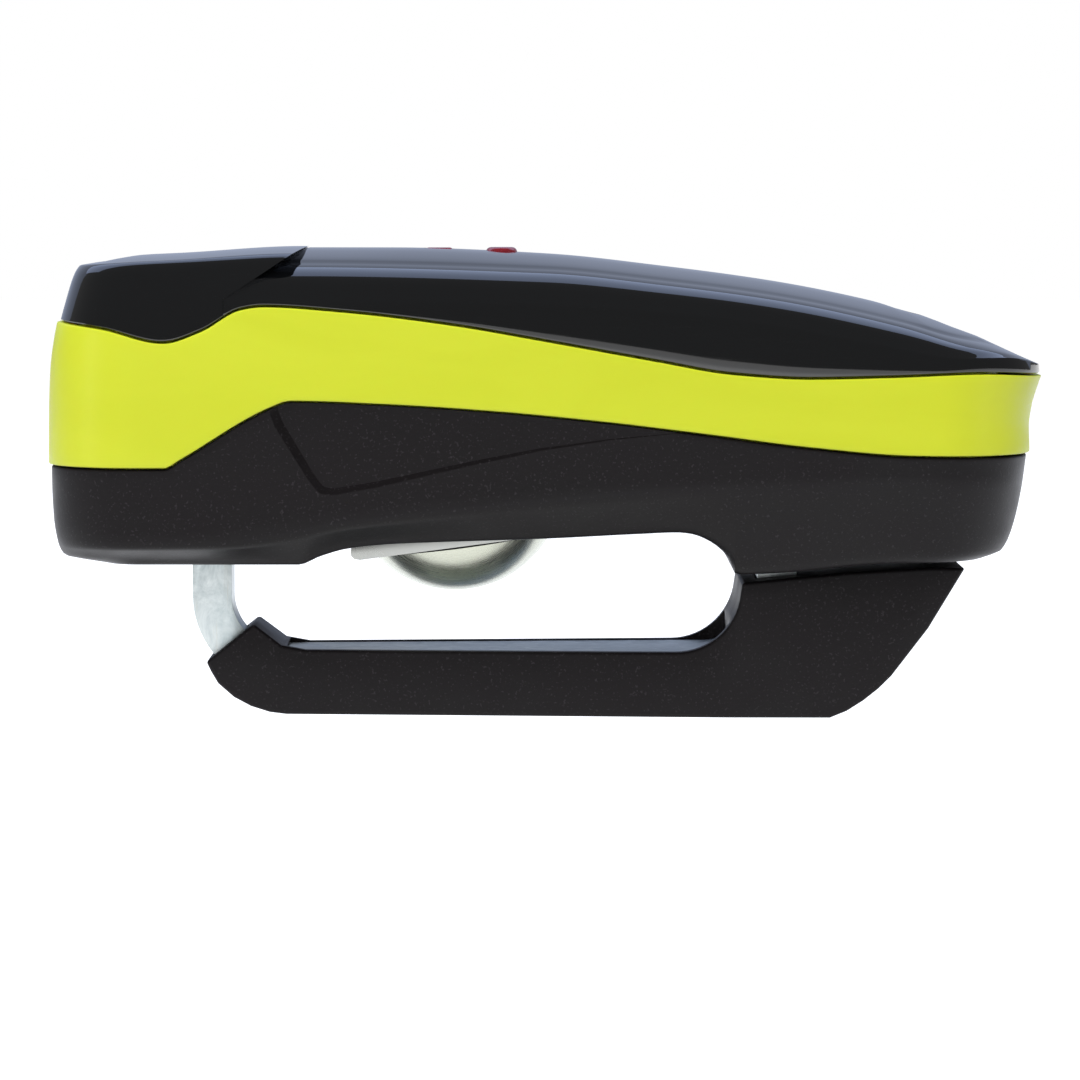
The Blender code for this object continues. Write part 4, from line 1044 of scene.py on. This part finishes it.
class LOCK_OT_cylinder(bpy.types.Operator):
    """Turns the cylinder's body and its plug with the keyway"""
    bl_idname = "lock.cylinder"
    bl_label = "Lock cylinder"

    def execute(self, context):
        stator = soften(turned_ring("stator", STATOR_RADIUS, CYL_END, CYL_FACE), 0.4, 4)
        cut(stator, turned_ring("bore", PLUG_RADIUS + 0.12, -20, 40))
        place(smooth(stator, 30), "housing", "plug", "cylinder_body")
        plug = soften(turned_ring("plug_core", PLUG_RADIUS, CYL_END, CYL_FACE - 0.2), 0.3, 4)
        high, thick = BLADE_HEIGHT / 2 + 0.25, BLADE_THICK / 2 + 0.25
        keyway = block("keyway", (CYL_X - high, CYL_FACE - BLADE_LENGTH - 0.3, CYL_Z - thick),
                       (CYL_X + high, 40, CYL_Z + thick))
        cut(plug, keyway)
        place(smooth(plug, 30), "plug", "plug", "cylinder_plug")
        return {"FINISHED"}


BOW = ((-6.2, 0), (6.2, 0), (6.2, 6.2), (6.9, 7.4), (8.4, 8.3), (10.2, 9.0), (12.0, 9.5), (12.7, 10.1),
       (12.95, 12), (13.0, 17), (12.95, 22), (12.7, 27), (12.3, 29.2), (11.6, 30.5), (10.2, 31.2),
       (7, 31.6), (3, 31.85))


def oval_ring(centre, half_long, half_wide, wire, z, side):
    """A raised line round a blank oval panel on the bow."""
    deselect()
    bpy.ops.mesh.primitive_torus_add(major_segments=64, minor_segments=10, major_radius=half_wide * MM,
                                     minor_radius=wire * MM, location=(0, 0, 0))
    ring = added("oval_ring")
    stretch = half_long - half_wide
    for vert in ring.data.vertices:
        vert.co.x += math.copysign(min(1.0, abs(vert.co.x) / (0.3 * MM)), vert.co.x) * stretch * MM
        vert.co.z *= 0.8
        vert.co += Vector((centre[0], centre[1], z - side * 0.02)) * MM
    return ring


class LOCK_OT_key(bpy.types.Operator):
    """Stamps and mills the key: blade with grooves and dimples, shoulder, blank oval panel and ring hole"""
    bl_idname = "lock.key"
    bl_label = "Key"

    def execute(self, context):
        shoulder = CYL_FACE + 0.25
        half, thick = BLADE_HEIGHT / 2, BLADE_THICK / 2
        outline = [*BOW, *[(-x, y) for x, y in reversed(BOW[2:])]]
        plan = [(CYL_X + x, shoulder + y) for x, y in outline]
        key = outline_block("key_blank", plan, CYL_Z - thick, CYL_Z + thick, "XY")
        ring_y = shoulder + 26.2
        cut(key, round_bar("ring_hole", 3.0, (CYL_X, ring_y, 20), (CYL_X, ring_y, 50), 64))
        soften(key, 0.35, 3, 40)
        blade = block("blade", (CYL_X - half, shoulder - BLADE_LENGTH, CYL_Z - thick),
                      (CYL_X + half, shoulder + 1.5, CYL_Z + thick))
        cut(key, soften(blade, 0.3, 3), operation="UNION")
        for side in (-1, 1):
            z = CYL_Z + side * thick
            for x, wide, reach in ((-3.1 * side, 0.55, 5.5), (-0.2 * side, 0.45, 8.5),
                                   (3.4 * side, 0.4, 4.5)):
                low, high = sorted((z - side * 0.55, z + side * 1.0))
                cut(key, block("groove", (CYL_X + x - wide, shoulder - 40, low),
                               (CYL_X + x + wide, shoulder + reach, high)))
            for row, count in ((1.7, 6), (-1.65, 5)):
                for step in range(count):
                    y = shoulder - 4.6 - 3.9 * step - (1.0 if row < 0 else 0.0)
                    spot = (CYL_X + row * side, y)
                    cut(key, cone_bar("dimple", 0.42, 1.15, (*spot, z - side * 0.75),
                                      (*spot, z + side * 0.05), 24))
            ring = oval_ring((CYL_X, shoulder + 15.5), 9.4, 2.7, 0.32, z, side)
            cut(key, ring, operation="UNION")
        place(smooth(key, 30), "key", "nickel", "key")
        return {"FINISHED"}


# --------------------------------------------------------------------------------------------------
# Light, window and the pieces that keep their own shape


class LOCK_OT_light(bpy.types.Operator):
    """Moulds the domed red lens and the small window beside it"""
    bl_idname = "lock.light"
    bl_label = "Lens and window"

    def execute(self, context):
        lens = round_bar("lens_moulding", 2.1, (-6, 0, 58.4), (-6, 0, 61.9), 64)
        soften(lens, 0.7, 6)
        cut(lens, round_bar("pipe", 1.2, (-6, 0, 49.0), (-6, 0, 59), 32), operation="UNION")
        place(smooth(lens, 40), "housing", "lens", "led_lens")
        window = soften(block("window_moulding", (-16.1, -1.3, 59.4), (-12.5, 1.3, 61.85)), 0.4, 4)
        place(window, "housing", "lens", "status_window")
        return {"FINISHED"}


KEPT = {
    "steel": ("trigger_pin", "cylinder_clip", "retaining_pin", "cam_disc", "locking_bolt"),
    "acetal": ("switch_bracket", "bolt_guide", "front_leg_bush", "rear_leg_guide", "battery_tray",
               "switch_plunger"),
    "rubber": ("front_leg_seal", "rear_leg_seal"),
    "brass": ("battery_contacts", "battery_bus"),
    "jacket": ("battery_near", "battery_far"),
    "board": ("circuit_board",),
    "chip": ("siren", "motion_sensor", "alarm_chip", "arming_switch"),
}


class LOCK_OT_works(bpy.types.Operator):
    """Gives the guides, seals, cells and board inside, which keep their own shape, their finishes"""
    bl_idname = "lock.works"
    bl_label = "Inner works"

    def execute(self, context):
        for kind, names in KEPT.items():
            dress(finish(kind), *names)
        return {"FINISHED"}


# --------------------------------------------------------------------------------------------------
# Stage


def soft_light(name, at, aim, size, power, colour="#FFFFFF"):
    deselect()
    bpy.ops.object.light_add(type="AREA", location=Vector(at) * MM)
    lamp = bpy.context.active_object
    lamp.name = name
    lamp.data.shape = "RECTANGLE"
    lamp.data.size, lamp.data.size_y = size[0] * MM, size[1] * MM
    lamp.data.energy = power
    lamp.data.color = srgb(colour)[:3]
    lamp.rotation_euler = (Vector(aim) - Vector(at)).to_track_quat("-Z", "Y").to_euler()
    return lamp


FLOOR_Z = -20.5
CAMERA_AT, CAMERA_AIM, CAMERA_LENS = (-0.87, -598.15, 69.79), (-0.87, 0, 22.72), 149.25


class LOCK_OT_stage(bpy.types.Operator):
    """Lays a pale floor, hangs soft lights and sets the camera level with the lock's plain side"""
    bl_idname = "lock.stage"
    bl_label = "Floor, lights and camera"

    def execute(self, context):
        deselect()
        # The floor lies just below the open shackle, so that it never hides the jaw.
        bpy.ops.mesh.primitive_plane_add(size=6.0, location=(0, 0, FLOOR_Z * MM))
        floor = bpy.context.active_object
        floor.name = "pale_floor"
        paper, _, shader = finish_of("white_paper", srgb("#CACACA"), 0.9, specular_ior_level=0.0)
        shader.inputs["Emission Color"].default_value = srgb("#FFFFFF")
        shader.inputs["Emission Strength"].default_value = 0.94
        floor.data.materials.append(paper)
        floor.visible_diffuse = False
        world = bpy.data.worlds.new("studio")
        bpy.context.scene.world = world
        world.use_nodes = True
        tree = world.node_tree
        sky = tree.nodes["Background"]
        seen = node(tree, "ShaderNodeLightPath").outputs["Is Camera Ray"]
        sky.inputs["Color"].default_value = srgb("#FFFFFF")
        tree.links.new(ramp(tree, seen, ((0.0, 0.15), (1.0, 1.0))), sky.inputs["Strength"])
        for name, at, aim, size, power, colour, shiny in (
            ("top_box", (-30, -60, 760), (0, 0, 40), (1100, 700), 2.6, "#FFFFFF", False),
            ("front_fill", (-160, -640, 330), (0, 0, 35), (420, 420), 3.0, "#FFFFFF", False),
            ("tail_strip", (480, -220, 160), (20, 0, 30), (160, 420), 0.9, "#FFFFFF", False),
            ("nose_strip", (-480, -220, 200), (-30, 0, 30), (160, 420), 0.9, "#FFFFFF", False),
            ("low_wall", (0, 800, 350), (0, 0, 50), (2600, 640), 2.1, "#B9CCF5", True),
            ("high_wall", (0, 430, 800), (0, 0, 50), (2400, 640), 7.0, "#B9CCF5", True),
        ):
            lamp = soft_light(name, at, aim, size, power, colour)
            lamp.visible_camera = False
            lamp.visible_glossy = shiny
        bpy.ops.object.camera_add(location=[c * MM for c in CAMERA_AT])
        camera = bpy.context.active_object
        camera.data.lens, camera.data.sensor_width = CAMERA_LENS, 36.0
        camera.data.clip_start = 0.01
        aim = Vector(CAMERA_AIM) * MM
        camera.rotation_euler = (aim - camera.location).to_track_quat("-Z", "Y").to_euler()
        bpy.context.scene.camera = camera
        bpy.context.scene.view_settings.view_transform = "Standard"
        return {"FINISHED"}


# --------------------------------------------------------------------------------------------------
# The add-on

PIECES = (LOCK_OT_lower_housing, LOCK_OT_side_band, LOCK_OT_upper_shells, LOCK_OT_shackle,
          LOCK_OT_jaw_cover, LOCK_OT_screws, LOCK_OT_trigger, LOCK_OT_cylinder, LOCK_OT_key,
          LOCK_OT_light, LOCK_OT_works, LOCK_OT_stage)


class LOCK_PT_panel(bpy.types.Panel):
    """Lists the lock's pieces, sizes and colours"""
    bl_idname = "LOCK_PT_panel"
    bl_label = "Disc lock"
    bl_space_type = "VIEW_3D"
    bl_region_type = "UI"
    bl_category = "Disc lock"

    def draw(self, context):
        for group in (sizes(), colours()):
            for name in group.__annotations__:
                self.layout.prop(group, name)
        for operator in PIECES:
            self.layout.operator(operator.bl_idname)


CLASSES = (LockFinish, LockSizes, *PIECES, LOCK_PT_panel)


def register():
    for made in CLASSES:
        bpy.utils.register_class(made)
    bpy.types.Scene.lock_sizes = PointerProperty(type=LockSizes)
    bpy.types.Scene.lock_finish = PointerProperty(type=LockFinish)


def unregister():
    del bpy.types.Scene.lock_sizes
    del bpy.types.Scene.lock_finish
    for made in reversed(CLASSES):
        bpy.utils.unregister_class(made)


def main():
    register()
    for operator in PIECES:
        getattr(bpy.ops.lock, operator.bl_idname.split(".")[1])()


if __name__ == "__main__":
    main()
